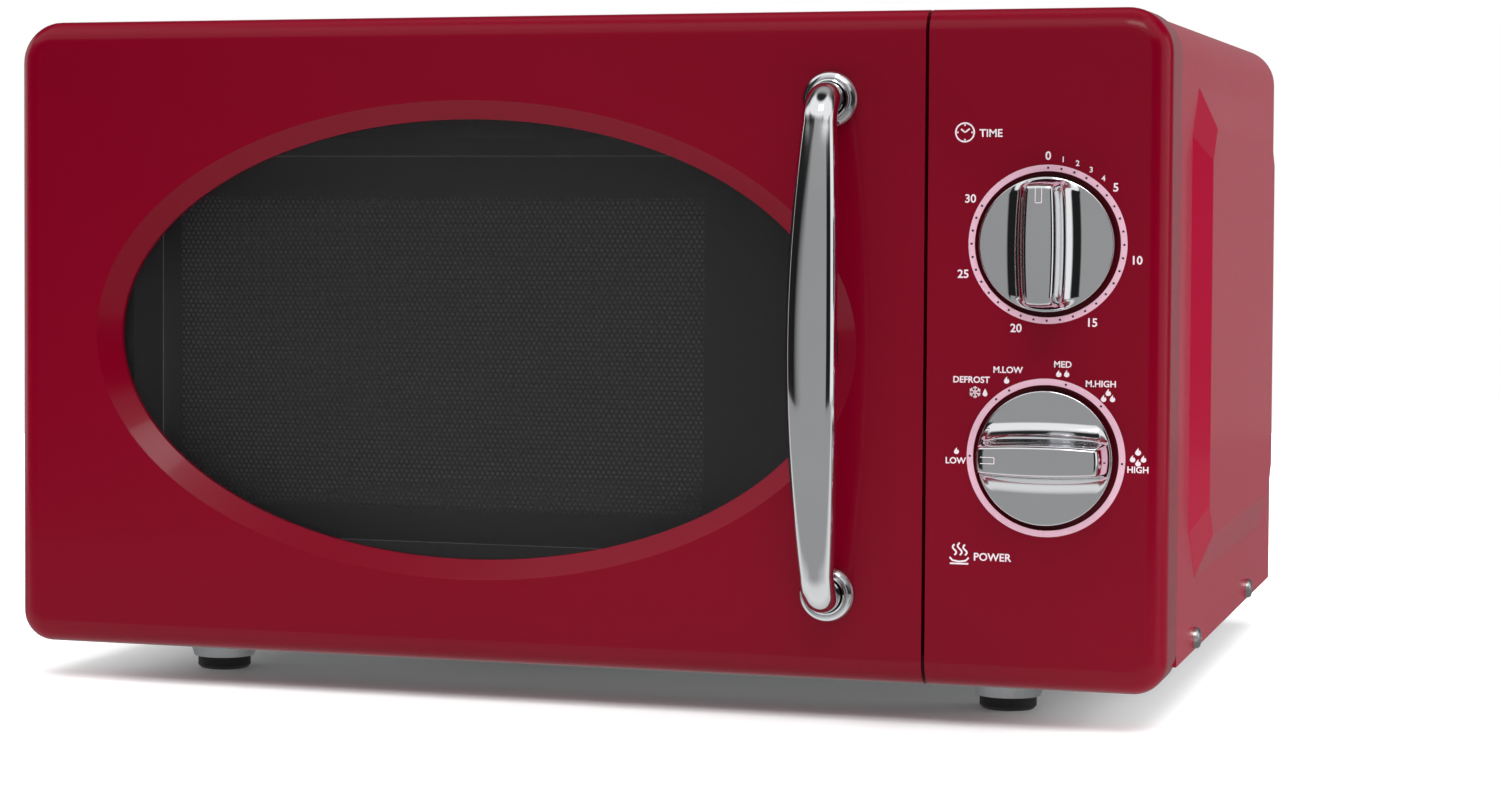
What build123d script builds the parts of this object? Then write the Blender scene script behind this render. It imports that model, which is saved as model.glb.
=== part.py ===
from build123d import *
import math
import os

# A countertop microwave oven with a bow handle, an oval door window and two rotary dials.
# X runs to the right as seen from the front, Y to the back and Z up.  The origin is under
# the middle of the oven on the table.  In the helpers below y counts from the front face.

os.makedirs("parts", exist_ok=True)

# ---------------------------------------------------------------- overall sizes
front_w = 445.0  # door and control panel together
overall_h = 256.0  # table to the top of the front
depth = 340.0  # front face to the back of the cabinet
front_bottom = 14.0  # underside of the front above the table
bezel_t = 29.5  # front face to the back of the door
front_gap = 2.0  # running gap between the door and the front plate
panel_w = 85.5  # control panel beside the door
seam = 1.3  # gap between the door and the control panel
corner_top = 16.0  # corner radii of the front outline
corner_bottom = 12.0
front_edge_r = 9.0  # rounding between the front face and its sides
shell = 2.5  # wall of the moulded front pieces
sheet = 1.0  # wall of the pressed steel pieces
fit = 0.1  # gap between sheets that nest
run = 0.3  # gap beside anything that moves
screw_r = 2.0
head_r = 4.0
head_t = 2.4
hole_r = screw_r + fit

# ---------------------------------------------------------------- handle and gland
handle_reach = 32.5  # front face to the outside of the handle
handle_t = 9.0  # thickness of the bow
handle_w = 18.4  # width at the middle
handle_end = 12.5  # width and thickness at each end
handle_span = 178.0  # between the two roses
handle_from_seam = 35.0
rose_r = 10.0
rose_bore = 7.4
rose_t = 4.5
gland_out = 6.0  # the gland stands this far out of the back
gland_bore = 3.75

side_x = front_w / 2
seam_x = side_x - panel_w
door_right = seam_x - seam / 2
panel_left = seam_x + seam / 2
cab_y = bezel_t + front_gap  # front edge of the cabinet and of the front plate
mid_z = (front_bottom + overall_h) / 2
front_y = (handle_reach - depth - gland_out) / 2

# ---------------------------------------------------------------- cabinet and base
cab_bottom = 21.0
cab_top = overall_h - 1.0
emboss_h = 5.0
emboss_margin = 27.0
emboss_run_front = 22.0
emboss_run = 15.0
emboss_chamfer = 18.0
emboss_corner = 12.0
lip_w = 12.0  # rear lip of the cabinet
base_z = 22.0  # top of the base plate
base_flange = 10.0
foot_x = 158.0
foot_inset_front = 55.0
foot_inset_rear = 40.0
foot_r = 10.5
foot_h = 5.0
dome_r = 17.5
dome_floor_r = 12.0
side_screw_y = (83.0, 253.0)
side_screw_z = 25.5

# ---------------------------------------------------------------- cavity
cavity_left_gap = 26.5  # cabinet side to the cavity
cavity_right_gap = 33.0  # cavity to the door seam
cavity_floor = 34.0
cavity_top_gap = 24.0
cavity_back_gap = 14.0
x0 = -side_x + cavity_left_gap
x1 = seam_x - cavity_right_gap
z1 = overall_h - cavity_top_gap
y0 = cab_y + sheet
y1 = depth - cavity_back_gap
cav_x = (x0 + x1) / 2
cav_y = (y0 + y1) / 2
bay_left = x1 + sheet
bay_right = side_x - sheet
bay_x = (bay_left + bay_right) / 2

# ---------------------------------------------------------------- turntable
roller_r = 7.0
roller_w = 5.0
ring_r = 84.0
ring_t = 8.0
ring_h = 5.0
axle_r = 2.0
tray_gap = 24.5  # glass tray to the nearest cavity wall
tray_t = 4.0
tray_rise = 11.0
tray_r = min(x1 - x0, y1 - y0) / 2 - tray_gap
roller_z = cavity_floor + run + roller_r
tray_z = roller_z + roller_r + run
motor_r = 24.5
motor_h = 12.0
service_w = 62.0  # opening in the base plate under the motor
spindle_r = 3.5
hub_r = 9.0
lobe_r = 22.0

# ---------------------------------------------------------------- door
rim_left = 34.5  # door edge to the rim of the oval window
rim_right = 24.3
rim_top = 31.4
rim_bottom = 31.5
rim_w = 8.0
rim_depth = 6.0
pane_y = 8.0
pane_t = 3.0
choke_y = 12.0
choke_w = 20.0
choke_depth = 12.0
choke_left = 13.5
choke_right = 24.2
choke_z = 9.5
screen_y = 25.0
cover_y = screen_y + sheet + 0.5
hinge_inset = 4.0  # hinge axis to the door's side and to its back
pin_r = 2.0
pin_l = 11.6
arm_t = 2.4
arm_z = 14.0  # hinge arms to the door's top and bottom
hinge_x = -side_x + hinge_inset
hinge_y = bezel_t - hinge_inset
hook_x = seam_x - 16.0
hook_pitch = 110.0
hook_reach = 52.0
hook_w = 5.0
hook_drop = 10.0
hook_rise = 8.0
latch_travel = 4.0

# ---------------------------------------------------------------- dials
dial_inset = 42.2
dial_pitch = 75.3
well_r = 25.6
well_depth = 4.0
knob_r = 23.8
knob_face = 3.0  # knob disc in front of the panel
grip_h = 17.0
grip_top = 8.9
grip_base = 23.0
shaft_r = 3.0
dial_x = side_x - dial_inset
timer_z = mid_z + dial_pitch / 2
power_z = mid_z - dial_pitch / 2
unit_y = 12.0  # front of the timer and of the power selector


# ---------------------------------------------------------------- helpers
def facing_front(y):
    """Sketch plane at y behind the front face; local axes are X and Z."""
    return Plane(origin=(0, front_y + y, 0), x_dir=(1, 0, 0), z_dir=(0, -1, 0))


def facing_right(x):
    """Sketch plane at x; local axes are y and Z."""
    return Plane(origin=(x, front_y, 0), x_dir=(0, 1, 0), z_dir=(1, 0, 0))


def facing_up(z):
    """Sketch plane at z; local axes are X and y."""
    return Plane(origin=(0, front_y, z), x_dir=(1, 0, 0), z_dir=(0, 0, 1))


def block(x, y, z, mode=Mode.ADD):
    """A box between two values on each axis."""
    with Locations(((x[0] + x[1]) / 2, front_y + (y[0] + y[1]) / 2, (z[0] + z[1]) / 2)):
        Box(x[1] - x[0], y[1] - y[0], z[1] - z[0], mode=mode)


def rod_x(x, y, z, radius, mode=Mode.ADD):
    """A round bar along X between x[0] and x[1]."""
    with Locations(Location(((x[0] + x[1]) / 2, front_y + y, z), (0, 90, 0))):
        Cylinder(radius, x[1] - x[0], mode=mode)


def rod_y(x, y, z, radius, mode=Mode.ADD):
    """A round bar along Y between y[0] and y[1]."""
    with Locations(Location((x, front_y + (y[0] + y[1]) / 2, z), (90, 0, 0))):
        Cylinder(radius, y[1] - y[0], mode=mode)


def rod_z(x, y, z, radius, mode=Mode.ADD):
    """A round bar along Z between z[0] and z[1]."""
    with Locations((x, front_y + y, (z[0] + z[1]) / 2)):
        Cylinder(radius, z[1] - z[0], mode=mode)


def keep(piece, name):
    """Labels a finished piece and writes it to its own file."""
    piece.part.label = name
    export_step(piece.part, "parts/" + name + ".step")


def front_outline(inset, left, right):
    """Front view of the bezel between two x values, rounded only at the oven's corners."""
    top = max(corner_top - inset, 1.0)
    bottom = max(corner_bottom - inset, 1.0)
    low, high = front_bottom + inset, overall_h - inset
    edge = side_x - inset
    with BuildSketch(facing_front(0), mode=Mode.PRIVATE) as outline:
        with BuildLine():
            FilletPolyline(
                (-edge, low),
                (edge, low),
                (edge, high),
                (-edge, high),
                radius=[bottom, bottom, top, top],
                close=True,
            )
        make_face()
        with Locations(((left + right) / 2, mid_z)):
            Rectangle(right - left, overall_h, mode=Mode.INTERSECT)
    return outline.sketch


def sheet_outline(gap, low):
    """Outline of a sheet that nests inside the cabinet with a gap, down to z = low."""
    edge = side_x - sheet - gap
    high = cab_top - sheet - gap
    radius = corner_top - sheet - gap
    with BuildSketch(facing_front(0), mode=Mode.PRIVATE) as outline:
        with BuildLine():
            Polyline((-edge, high - radius), (-edge, low), (edge, low), (edge, high - radius))
            RadiusArc((edge, high - radius), (edge - radius, high), -radius)
            Line((edge - radius, high), (-edge + radius, high))
            RadiusArc((-edge + radius, high), (-edge, high - radius), -radius)
        make_face()
    return outline.sketch


def bezel_shell(left, right, back):
    """Hollow moulded front piece between two x values, with a rounded front edge."""
    with BuildPart() as outer:
        with BuildSketch(facing_front(0)):
            add(front_outline(0, -side_x, side_x))
        extrude(amount=-back)
        fillet(outer.faces().sort_by(Axis.Y)[0].edges(), front_edge_r)
    with BuildPart() as inner:
        with BuildSketch(facing_front(shell)):
            add(front_outline(shell, -side_x, side_x))
        extrude(amount=-(back - shell + 1))
        fillet(inner.faces().sort_by(Axis.Y)[0].edges(), front_edge_r - shell)
    with BuildPart() as moulding:
        add(outer.part)
        reach = (-handle_reach, back + 2)
        height = (0, overall_h + 10)
        block((-front_w, left), reach, height, Mode.SUBTRACT)
        block((right, front_w), reach, height, Mode.SUBTRACT)
    with BuildPart() as hollow:
        add(inner.part)
        if left > -side_x:
            block((-front_w, left + shell), reach, height, Mode.SUBTRACT)
        if right < side_x:
            block((right - shell, front_w), reach, height, Mode.SUBTRACT)
    return moulding.part - hollow.part


# ================================================================ case
emboss_front = cab_y + emboss_margin + 3
emboss_rear = depth - emboss_margin
emboss_low = cab_bottom + emboss_margin
emboss_high = cab_top - emboss_margin + 2


def octagon(trim_front, trim, corner):
    """Corner points of the raised side panel, trimmed on its edges."""
    a, b = emboss_front + trim_front, emboss_rear - trim
    c, d = emboss_low + trim, emboss_high - trim
    lower = [(a + corner, c), (b - corner, c), (b, c + corner)]
    upper = [(b, d - corner), (b - corner, d), (a + corner, d)]
    return lower + upper + [(a, d - corner), (a, c + corner)]


def raised_panel(base):
    """The raised panel of the right side as a solid standing on x = base."""
    with BuildPart() as panel:
        with BuildSketch(facing_right(base)):
            with BuildLine():
                Polyline(*octagon(0, 0, emboss_chamfer), close=True)
            make_face()
        with BuildSketch(facing_right(base + emboss_h)):
            with BuildLine():
                Polyline(*octagon(emboss_run_front, emboss_run, emboss_corner), close=True)
            make_face()
        loft(ruled=True)
    return panel.part


emboss_outer = raised_panel(side_x)
emboss_inner = raised_panel(side_x - sheet)
rear_screw_z = (60.0, mid_z, overall_h - 40.0)
rear_screw_x = side_x - lip_w / 2
top_screw_x = side_x * 0.55
top_screw_z = cab_top - lip_w / 2

with BuildPart() as outer_cabinet:
    with BuildSketch(facing_front(cab_y)):
        add(sheet_outline(-sheet, cab_bottom))
        add(sheet_outline(0, cab_bottom), mode=Mode.SUBTRACT)
        with Locations((0, cab_bottom)):
            Rectangle(front_w - 2 * sheet, 2 * sheet, mode=Mode.SUBTRACT)
    extrude(amount=-(depth - cab_y))
    add(emboss_outer)
    mirror(emboss_outer, about=Plane.YZ)
    add(emboss_inner, mode=Mode.SUBTRACT)
    mirror(emboss_inner, about=Plane.YZ, mode=Mode.SUBTRACT)
    with BuildSketch(facing_front(depth - sheet)):
        add(sheet_outline(0, cab_bottom))
        add(sheet_outline(lip_w, cab_bottom - 1), mode=Mode.SUBTRACT)
    extrude(amount=-sheet)
    for y in side_screw_y:
        rod_x((-side_x - 1, side_x + 1), y, side_screw_z, hole_r, Mode.SUBTRACT)
    for x in (-rear_screw_x, rear_screw_x):
        for z in rear_screw_z:
            rod_y(x, (depth - 2, depth + 1), z, hole_r, Mode.SUBTRACT)
    for x in (-top_screw_x, top_screw_x):
        rod_y(x, (depth - 2, depth + 1), top_screw_z, hole_r, Mode.SUBTRACT)
keep(outer_cabinet, "outer_cabinet")

# The base plate is a tray with pressed domes that carry the rubber feet.
foot_y = (foot_inset_front, depth - foot_inset_rear)
foot_places = [(x, y) for x in (-foot_x, foot_x) for y in foot_y]
base_edge = side_x - sheet - fit
base_front = y0
base_rear = depth - 2 * sheet
dome_depth = base_z - foot_h - sheet


def dome(z, shrink):
    """A pressed dome below z as a solid at each foot."""
    for x, y in foot_places:
        with Locations((x, front_y + y, z - dome_depth / 2)):
            Cone(dome_floor_r - shrink, dome_r - shrink, dome_depth)


with BuildPart() as dome_outside:
    dome(base_z - sheet, 0)
with BuildPart() as dome_inside:
    dome(base_z, sheet)

with BuildPart() as base_plate:
    block((-base_edge, base_edge), (base_front, base_rear), (base_z - sheet, base_z + base_flange))
    inside = (base_front + sheet, base_rear - sheet)
    tray_x = (-base_edge + sheet, base_edge - sheet)
    block(tray_x, inside, (base_z, base_z + base_flange + 1), Mode.SUBTRACT)
    add(dome_outside.part)
    add(dome_inside.part, mode=Mode.SUBTRACT)
    for x, y in foot_places:
        rod_z(x, y, (0, base_z), 3.1, Mode.SUBTRACT)
    for y in side_screw_y:
        rod_x((-side_x - 1, side_x + 1), y, side_screw_z, hole_r, Mode.SUBTRACT)
    service_x = (cav_x - service_w / 2, cav_x + service_w / 2)
    service_y = (cav_y - service_w / 2, cav_y + service_w / 2)
    block(service_x, service_y, (base_z - 2, base_z + 1), Mode.SUBTRACT)
    # Air leaves through slots under the cavity and enters under the control bay.
    with BuildSketch(facing_up(base_z + 1)):
        for x, y in ((cav_x, cav_y + 80), (cav_x, cav_y - 70), (bay_x, cav_y + 60)):
            with Locations((x, y)):
                with GridLocations(8, 0, 8, 1):
                    SlotOverall(30, 4, rotation=90)
    extrude(amount=-3, mode=Mode.SUBTRACT)
keep(base_plate, "base_plate")

with BuildPart() as feet:
    for x, y in foot_places:
        rod_z(x, y, (0, foot_h), foot_r)
        rod_z(x, y, (foot_h, foot_h + sheet + run), 3.0)
        rod_z(x, y, (foot_h + sheet + run, foot_h + sheet + 3), 4.5)
    chamfer(feet.faces().group_by(Axis.Z)[0].edges(), 1.2)
keep(feet, "feet")

# ---------------------------------------------------------------- rear panel and gland
gland_x = side_x - 24
gland_z = base_z + base_flange + 12
fan_x = bay_x
fan_z = mid_z - 12
fan_r = 46.0
rear_y = depth - 2 * sheet

with BuildPart() as rear_panel:
    with BuildSketch(facing_front(rear_y)):
        add(sheet_outline(fit, base_z - sheet))
        with Locations((fan_x, fan_z)):
            with GridLocations(0, 9, 1, 9):
                SlotOverall(74, 4, mode=Mode.SUBTRACT)
        with Locations((x0 + 70, overall_h - 60)):
            with GridLocations(9, 0, 9, 1):
                SlotOverall(40, 4, rotation=90, mode=Mode.SUBTRACT)
        with Locations((gland_x, gland_z)):
            Circle(7.5, mode=Mode.SUBTRACT)
    extrude(amount=-sheet)
    for x in (-rear_screw_x, rear_screw_x):
        for z in rear_screw_z:
            rod_y(x, (rear_y - 1, depth), z, hole_r, Mode.SUBTRACT)
    for x in (-top_screw_x, top_screw_x):
        rod_y(x, (rear_y - 1, depth), top_screw_z, hole_r, Mode.SUBTRACT)
keep(rear_panel, "rear_panel")

with BuildPart() as cable_gland:
    rod_y(gland_x, (rear_y - 4, depth + gland_out), gland_z, 7.4)
    rod_y(gland_x, (rear_y - 4, rear_y), gland_z, 9.5)
    rod_y(gland_x, (depth - sheet, depth + gland_out), gland_z, 9.5)
    chamfer(cable_gland.faces().sort_by(Axis.Y)[-1].edges(), 1.5)
    rod_y(gland_x, (rear_y - 5, depth + gland_out + 1), gland_z, gland_bore, Mode.SUBTRACT)
keep(cable_gland, "cable_gland")

with BuildPart() as cabinet_screws:
    for y in side_screw_y:
        for s in (-1, 1):
            shank = sorted((s * (side_x - 5), s * side_x))
            head = sorted((s * side_x, s * (side_x + head_t)))
            rod_x(shank, y, side_screw_z, screw_r)
            rod_x(head, y, side_screw_z, head_r)
            slot = sorted((s * (side_x + head_t - 1), s * (side_x + head_t + 1)))
            block(slot, (y - 0.5, y + 0.5), (side_screw_z - 3, side_screw_z + 3), Mode.SUBTRACT)
    rear_places = [(s * rear_screw_x, z) for s in (-1, 1) for z in rear_screw_z]
    rear_places += [(s * top_screw_x, top_screw_z) for s in (-1, 1)]
    for x, z in rear_places:
        rod_y(x, (depth - 6, depth), z, screw_r)
        rod_y(x, (depth, depth + head_t), z, head_r)
        block((x - 3, x + 3), (depth + head_t - 1, depth + head_t + 1), (z - 0.5, z + 0.5), Mode.SUBTRACT)
keep(cabinet_screws, "cabinet_screws")

# ================================================================ cavity
# A welded steel box behind a front plate, with vents, a lamp window and the waveguide port.
guide_y = 135.0  # front of the magnetron and its waveguide
guide_l = 95.0
guide_h = 38.0
guide_w = 95.0
guide_top = z1 - 2
guide_z = guide_top - guide_h
aperture_z = (guide_z + 3, guide_top - 3)
aperture_y = (guide_y + 12, guide_y + guide_l - 12)
lamp_z = guide_z - 32
vent_y = guide_y - 20
hook_z = (mid_z - hook_pitch / 2, mid_z + hook_pitch / 2)
slot_x = (hook_x - hook_w / 2 - 2, hook_x + hook_w / 2 + 2)


def hook_slot(z):
    """Height of the slot that a latch hook passes through."""
    return (z - hook_drop - 1, z + hook_rise + latch_travel + 1)


with BuildPart() as front_plate:
    with BuildSketch(facing_front(cab_y)):
        add(sheet_outline(fit, base_z))
        with Locations((cav_x, (cavity_floor + z1) / 2)):
            Rectangle(x1 - x0, z1 - cavity_floor, mode=Mode.SUBTRACT)
        with Locations((dial_x, mid_z)):
            Rectangle(66, min(170, overall_h - 70), mode=Mode.SUBTRACT)
    extrude(amount=-sheet)
    for z in hook_z:
        block(slot_x, (cab_y - 1, cab_y + 2), hook_slot(z), Mode.SUBTRACT)
keep(front_plate, "front_plate")

with BuildPart() as oven_cavity:
    block((x0 - sheet, x1 + sheet), (y0, y1 + sheet), (cavity_floor - sheet, z1 + sheet))
    block((x0, x1), (cab_y - 1, y1), (cavity_floor, z1), Mode.SUBTRACT)
    block((x1 - 1, x1 + 2), aperture_y, aperture_z, Mode.SUBTRACT)
    rod_z(cav_x, cav_y, (cavity_floor - 2, cavity_floor + 1), spindle_r + 2, Mode.SUBTRACT)
    with BuildSketch(facing_right(x1 - 1)):
        with Locations((vent_y, lamp_z)):
            with GridLocations(5, 5, 5, 7):
                Circle(1.5)
    extrude(amount=3, mode=Mode.SUBTRACT)
    with BuildSketch(facing_right(x0 - 2)):
        with Locations((y1 - 50, z1 - 30)):
            with GridLocations(5, 5, 9, 4):
                Circle(1.5)
    extrude(amount=3, mode=Mode.SUBTRACT)
keep(oven_cavity, "oven_cavity")

with BuildPart() as waveguide:
    block((bay_left, bay_left + guide_w), (guide_y, guide_y + guide_l), (guide_z, guide_top))
    inside_y = (guide_y + sheet, guide_y + guide_l - sheet)
    inside_z = (guide_z + sheet, guide_top - sheet)
    block((bay_left - 1, bay_left + guide_w - sheet), inside_y, inside_z, Mode.SUBTRACT)
    for y in (guide_y - 8, guide_y + guide_l):
        block((bay_left, bay_left + sheet), (y, y + 8), (guide_z, guide_top))
    antenna_x = bay_left + 62
    antenna_y = guide_y + guide_l / 2
    rod_z(antenna_x, antenna_y, (guide_z - 1, guide_z + 2), 10, Mode.SUBTRACT)
keep(waveguide, "waveguide")

with BuildPart() as waveguide_cover:
    mica_y = (aperture_y[0] - 8, aperture_y[1] + 8)
    block((x1 - 0.8, x1), mica_y, (aperture_z[0] - 4, z1 - 1))
keep(waveguide_cover, "waveguide_cover")

# ================================================================ microwave generator
yoke_t = 1.6
yoke_h = 64.0
yoke_x = (antenna_x - 40, antenna_x + 40)
yoke_y = (guide_y, guide_y + guide_l)
yoke_z = (guide_z - yoke_h, guide_z)
anode_r = 20.0
magnet_h = 12.0
anode_z = (yoke_z[0] + yoke_t + magnet_h, yoke_z[1] - yoke_t - magnet_h)

with BuildPart() as magnetron_yoke:
    block(yoke_x, yoke_y, yoke_z)
    hollow_x = (yoke_x[0] + yoke_t, yoke_x[1] - yoke_t)
    hollow_z = (yoke_z[0] + yoke_t, yoke_z[1] - yoke_t)
    block(hollow_x, (yoke_y[0] - 1, yoke_y[1] + 1), hollow_z, Mode.SUBTRACT)
    rod_z(antenna_x, antenna_y, (yoke_z[0] - 1, yoke_z[1] + 1), 9, Mode.SUBTRACT)
keep(magnetron_yoke, "magnetron_yoke")

with BuildPart() as magnetron_core:
    rod_z(antenna_x, antenna_y, anode_z, anode_r)
    rod_z(antenna_x, antenna_y, (yoke_z[0] - 14, guide_z + 22), 7.5)
    fins = 9
    pitch = (anode_z[1] - anode_z[0]) / fins
    for k in range(fins):
        z = anode_z[0] + (k + 0.5) * pitch
        block(hollow_x, (yoke_y[0] + 6, yoke_y[1] - 6), (z - 0.3, z + 0.3))
    fillet(magnetron_core.faces().sort_by(Axis.Z)[-1].edges(), 3)
keep(magnetron_core, "magnetron_core")

with BuildPart() as magnetron_magnets:
    for z in ((hollow_z[0], anode_z[0]), (anode_z[1], hollow_z[1])):
        rod_z(antenna_x, antenna_y, z, 27)
        rod_z(antenna_x, antenna_y, z, 8.5, Mode.SUBTRACT)
keep(magnetron_magnets, "magnetron_magnets")

filter_z = (yoke_z[0] - 28, yoke_z[0])
filter_x = (yoke_x[0] + 5, yoke_x[1] - 5)
filter_y = (yoke_y[0] + 10, yoke_y[1] - 10)
with BuildPart() as magnetron_filter_box:
    block(filter_x, filter_y, filter_z)
    walls = [(a + sheet, b - sheet) for a, b in (filter_x, filter_y, filter_z)]
    block(*walls, Mode.SUBTRACT)
    rod_z(antenna_x, antenna_y, (filter_z[1] - 2, filter_z[1] + 1), 8.5, Mode.SUBTRACT)
    # Feed-through block with its two terminals
    block((filter_x[1], filter_x[1] + 5), (antenna_y - 14, antenna_y + 14), (filter_z[0] + 6, filter_z[1] - 6))
    for y in (antenna_y - 7, antenna_y + 7):
        block((filter_x[1] + 5, filter_x[1] + 10), (y - 3, y + 3), (filter_z[0] + 13, filter_z[0] + 14))
keep(magnetron_filter_box, "magnetron_filter_box")

# The transformer stands on the base plate under the magnetron.
core_y = (88.0, 158.0)
core_z = (base_z + 3, base_z + 74)
core_x = (bay_x - 44, bay_x + 44)
leg = 14.5
with BuildPart() as transformer_core:
    block(core_x, core_y, core_z)
    for s in (-1, 1):
        window = sorted((bay_x + s * leg, bay_x + s * (2 * leg + 0.5)))
        block(window, (core_y[0] - 1, core_y[1] + 1), (core_z[0] + leg, core_z[1] - leg), Mode.SUBTRACT)
    block((core_x[0] - 6, core_x[1] + 6), (core_y[0] - 2, core_y[1] + 2), (base_z, core_z[0]))
    for x in (core_x[0] - 3, core_x[1] + 3):
        for y in (core_y[0] + 6, core_y[1] - 6):
            rod_z(x, y, (base_z - 1, core_z[0] + 1), 1.8, Mode.SUBTRACT)
keep(transformer_core, "transformer_core")

coil_h = (core_z[1] - core_z[0] - 2 * leg - 5) / 2
coil_low = core_z[0] + leg + 0.5
with BuildPart() as transformer_coils:
    for low in (coil_low, coil_low + coil_h + 4):
        with BuildSketch(facing_up(low)):
            with Locations((bay_x, sum(core_y) / 2)):
                RectangleRounded(4 * leg + 0.4, core_y[1] - core_y[0] + 24, 8)
                Rectangle(2 * leg + 2 * fit, core_y[1] - core_y[0] + 2 * fit, mode=Mode.SUBTRACT)
        extrude(amount=coil_h)
keep(transformer_coils, "transformer_coils")

cap_y = core_y[1] + 34
cap_z = base_z + sheet
cap_w = 34.0
cap_h = 50.0
cap_x = (bay_x - 42, bay_x + 44)
with BuildPart() as hv_capacitor:
    with BuildSketch(facing_right(cap_x[0])):
        with Locations((cap_y, cap_z + cap_h / 2)):
            SlotOverall(cap_h, cap_w, rotation=90)
    extrude(amount=cap_x[1] - cap_x[0])
    for z in (cap_z + 16, cap_z + 34):
        block((cap_x[0] - 7, cap_x[0]), (cap_y - 3, cap_y + 3), (z - 0.5, z + 0.5))
keep(hv_capacitor, "hv_capacitor")

strap_x = (bay_x + 5, bay_x + 25)
with BuildPart() as capacitor_clamp:
    with BuildSketch(facing_right(strap_x[0])):
        with Locations((cap_y, cap_z + cap_h / 2)):
            SlotOverall(cap_h + 2 * sheet, cap_w + 2 * sheet, rotation=90)
            SlotOverall(cap_h, cap_w, rotation=90, mode=Mode.SUBTRACT)
        with Locations((cap_y + cap_w / 2 + 6, base_z + sheet / 2)):
            Rectangle(14, sheet)
        with Locations((cap_y + cap_w / 2 + sheet / 2, base_z + cap_h / 4)):
            Rectangle(sheet, cap_h / 2)
    extrude(amount=strap_x[1] - strap_x[0])
keep(capacitor_clamp, "capacitor_clamp")

with BuildPart() as hv_diode:
    diode_x = cap_x[0] - 12
    rod_z(diode_x, cap_y, (base_z, base_z + 1), 4)
    rod_z(diode_x, cap_y, (base_z + 1, cap_z + 35), 0.8)
    rod_z(diode_x, cap_y, (base_z + 8, base_z + 26), 3.5)
    rod_x((diode_x, cap_x[0] - 7), cap_y, cap_z + 34, 0.8)
keep(hv_diode, "hv_diode")

# ---------------------------------------------------------------- mains filter and fuse
board_y = (depth - 115.0, depth - 62.0)
board_x = (bay_x - 38, bay_x + 38)
board_z = base_z + 6
with BuildPart() as line_filter_board:
    block(board_x, board_y, (board_z, board_z + 1.6))
    for x in (board_x[0] + 4, board_x[1] - 4):
        for y in (board_y[0] + 4, board_y[1] - 4):
            rod_z(x, y, (base_z, board_z), 2.5)
    rod_z(bay_x - 20, board_y[0] + 26, (board_z + 1.6, board_z + 14), 13)
    rod_z(bay_x - 20, board_y[0] + 26, (board_z + 3, board_z + 15), 6, Mode.SUBTRACT)
    block((bay_x + 2, bay_x + 30), (board_y[0] + 8, board_y[0] + 20), (board_z + 1.6, board_z + 18))
    for x in (bay_x + 4, bay_x + 28):
        block((x - 2, x + 2), (board_y[1] - 16, board_y[1] - 6), (board_z + 1.6, board_z + 5))
keep(line_filter_board, "line_filter_board")

with BuildPart() as mains_fuse:
    rod_x((bay_x + 1, bay_x + 31), board_y[1] - 11, board_z + 8, 3)
keep(mains_fuse, "mains_fuse")

with BuildPart() as thermal_cutouts:
    rod_z(cav_x, cav_y + 60, (z1 + sheet, z1 + sheet + 1), 11)
    rod_z(cav_x, cav_y + 60, (z1 + sheet + 1, z1 + sheet + 9), 8)
    rod_x((yoke_x[1], yoke_x[1] + 1), antenna_y, yoke_z[0] + 40, 11)
    rod_x((yoke_x[1] + 1, yoke_x[1] + 9), antenna_y, yoke_z[0] + 40, 8)
keep(thermal_cutouts, "thermal_cutouts")

# ---------------------------------------------------------------- fan
shroud_y = (depth - 46.0, depth - 44.0)
shroud_h = 132.0
collar = 12.0
with BuildPart() as fan_shroud:
    block((bay_left + fit, bay_right - fit), shroud_y, (fan_z - shroud_h / 2, fan_z + shroud_h / 2))
    rod_y(fan_x, (shroud_y[0] - collar, shroud_y[0]), fan_z, fan_r + 4)
    rod_y(fan_x, (shroud_y[0] - collar - 1, shroud_y[1] + 1), fan_z, fan_r + 2, Mode.SUBTRACT)
keep(fan_shroud, "fan_shroud")

fan_shaft_r = 2.5
with BuildPart() as fan_motor:
    strip = fan_r + 6
    block((fan_x - 7, fan_x + 7), (shroud_y[1], shroud_y[1] + 2), (fan_z - strip, fan_z + strip))
    block((fan_x - 24, fan_x + 24), (shroud_y[1] + 2, shroud_y[1] + 18), (fan_z - 24, fan_z + 24))
    rod_y(fan_x + 15, (shroud_y[1], shroud_y[1] + 26), fan_z - 12, 11)
    rod_y(fan_x, (shroud_y[1], shroud_y[1] + 24), fan_z, 9)
    rod_y(fan_x, (shroud_y[1] - 1, shroud_y[1] + 20), fan_z, fan_shaft_r + 0.08, Mode.SUBTRACT)
keep(fan_motor, "fan_motor")

blades = 6
with BuildPart() as one_blade:
    with BuildSketch(Plane(origin=(fan_x, front_y + shroud_y[0] - 6, fan_z + 8), z_dir=(0, 0, 1))):
        Rectangle(26, 1.6, rotation=32)
    with BuildSketch(Plane(origin=(fan_x, front_y + shroud_y[0] - 6, fan_z + fan_r - 1), z_dir=(0, 0, 1))):
        Rectangle(32, 1.2, rotation=16)
    loft()

fan_axis = Axis((fan_x, front_y, fan_z), (0, 1, 0))
with BuildPart() as fan_blade:
    rod_y(fan_x, (shroud_y[0] - collar, shroud_y[0]), fan_z, 12)
    rod_y(fan_x, (shroud_y[0] - collar, shroud_y[1] + 18), fan_z, fan_shaft_r)
    for k in range(blades):
        add(one_blade.part.rotate(fan_axis, 360 / blades * k))
keep(fan_blade, "fan_blade")

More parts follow.
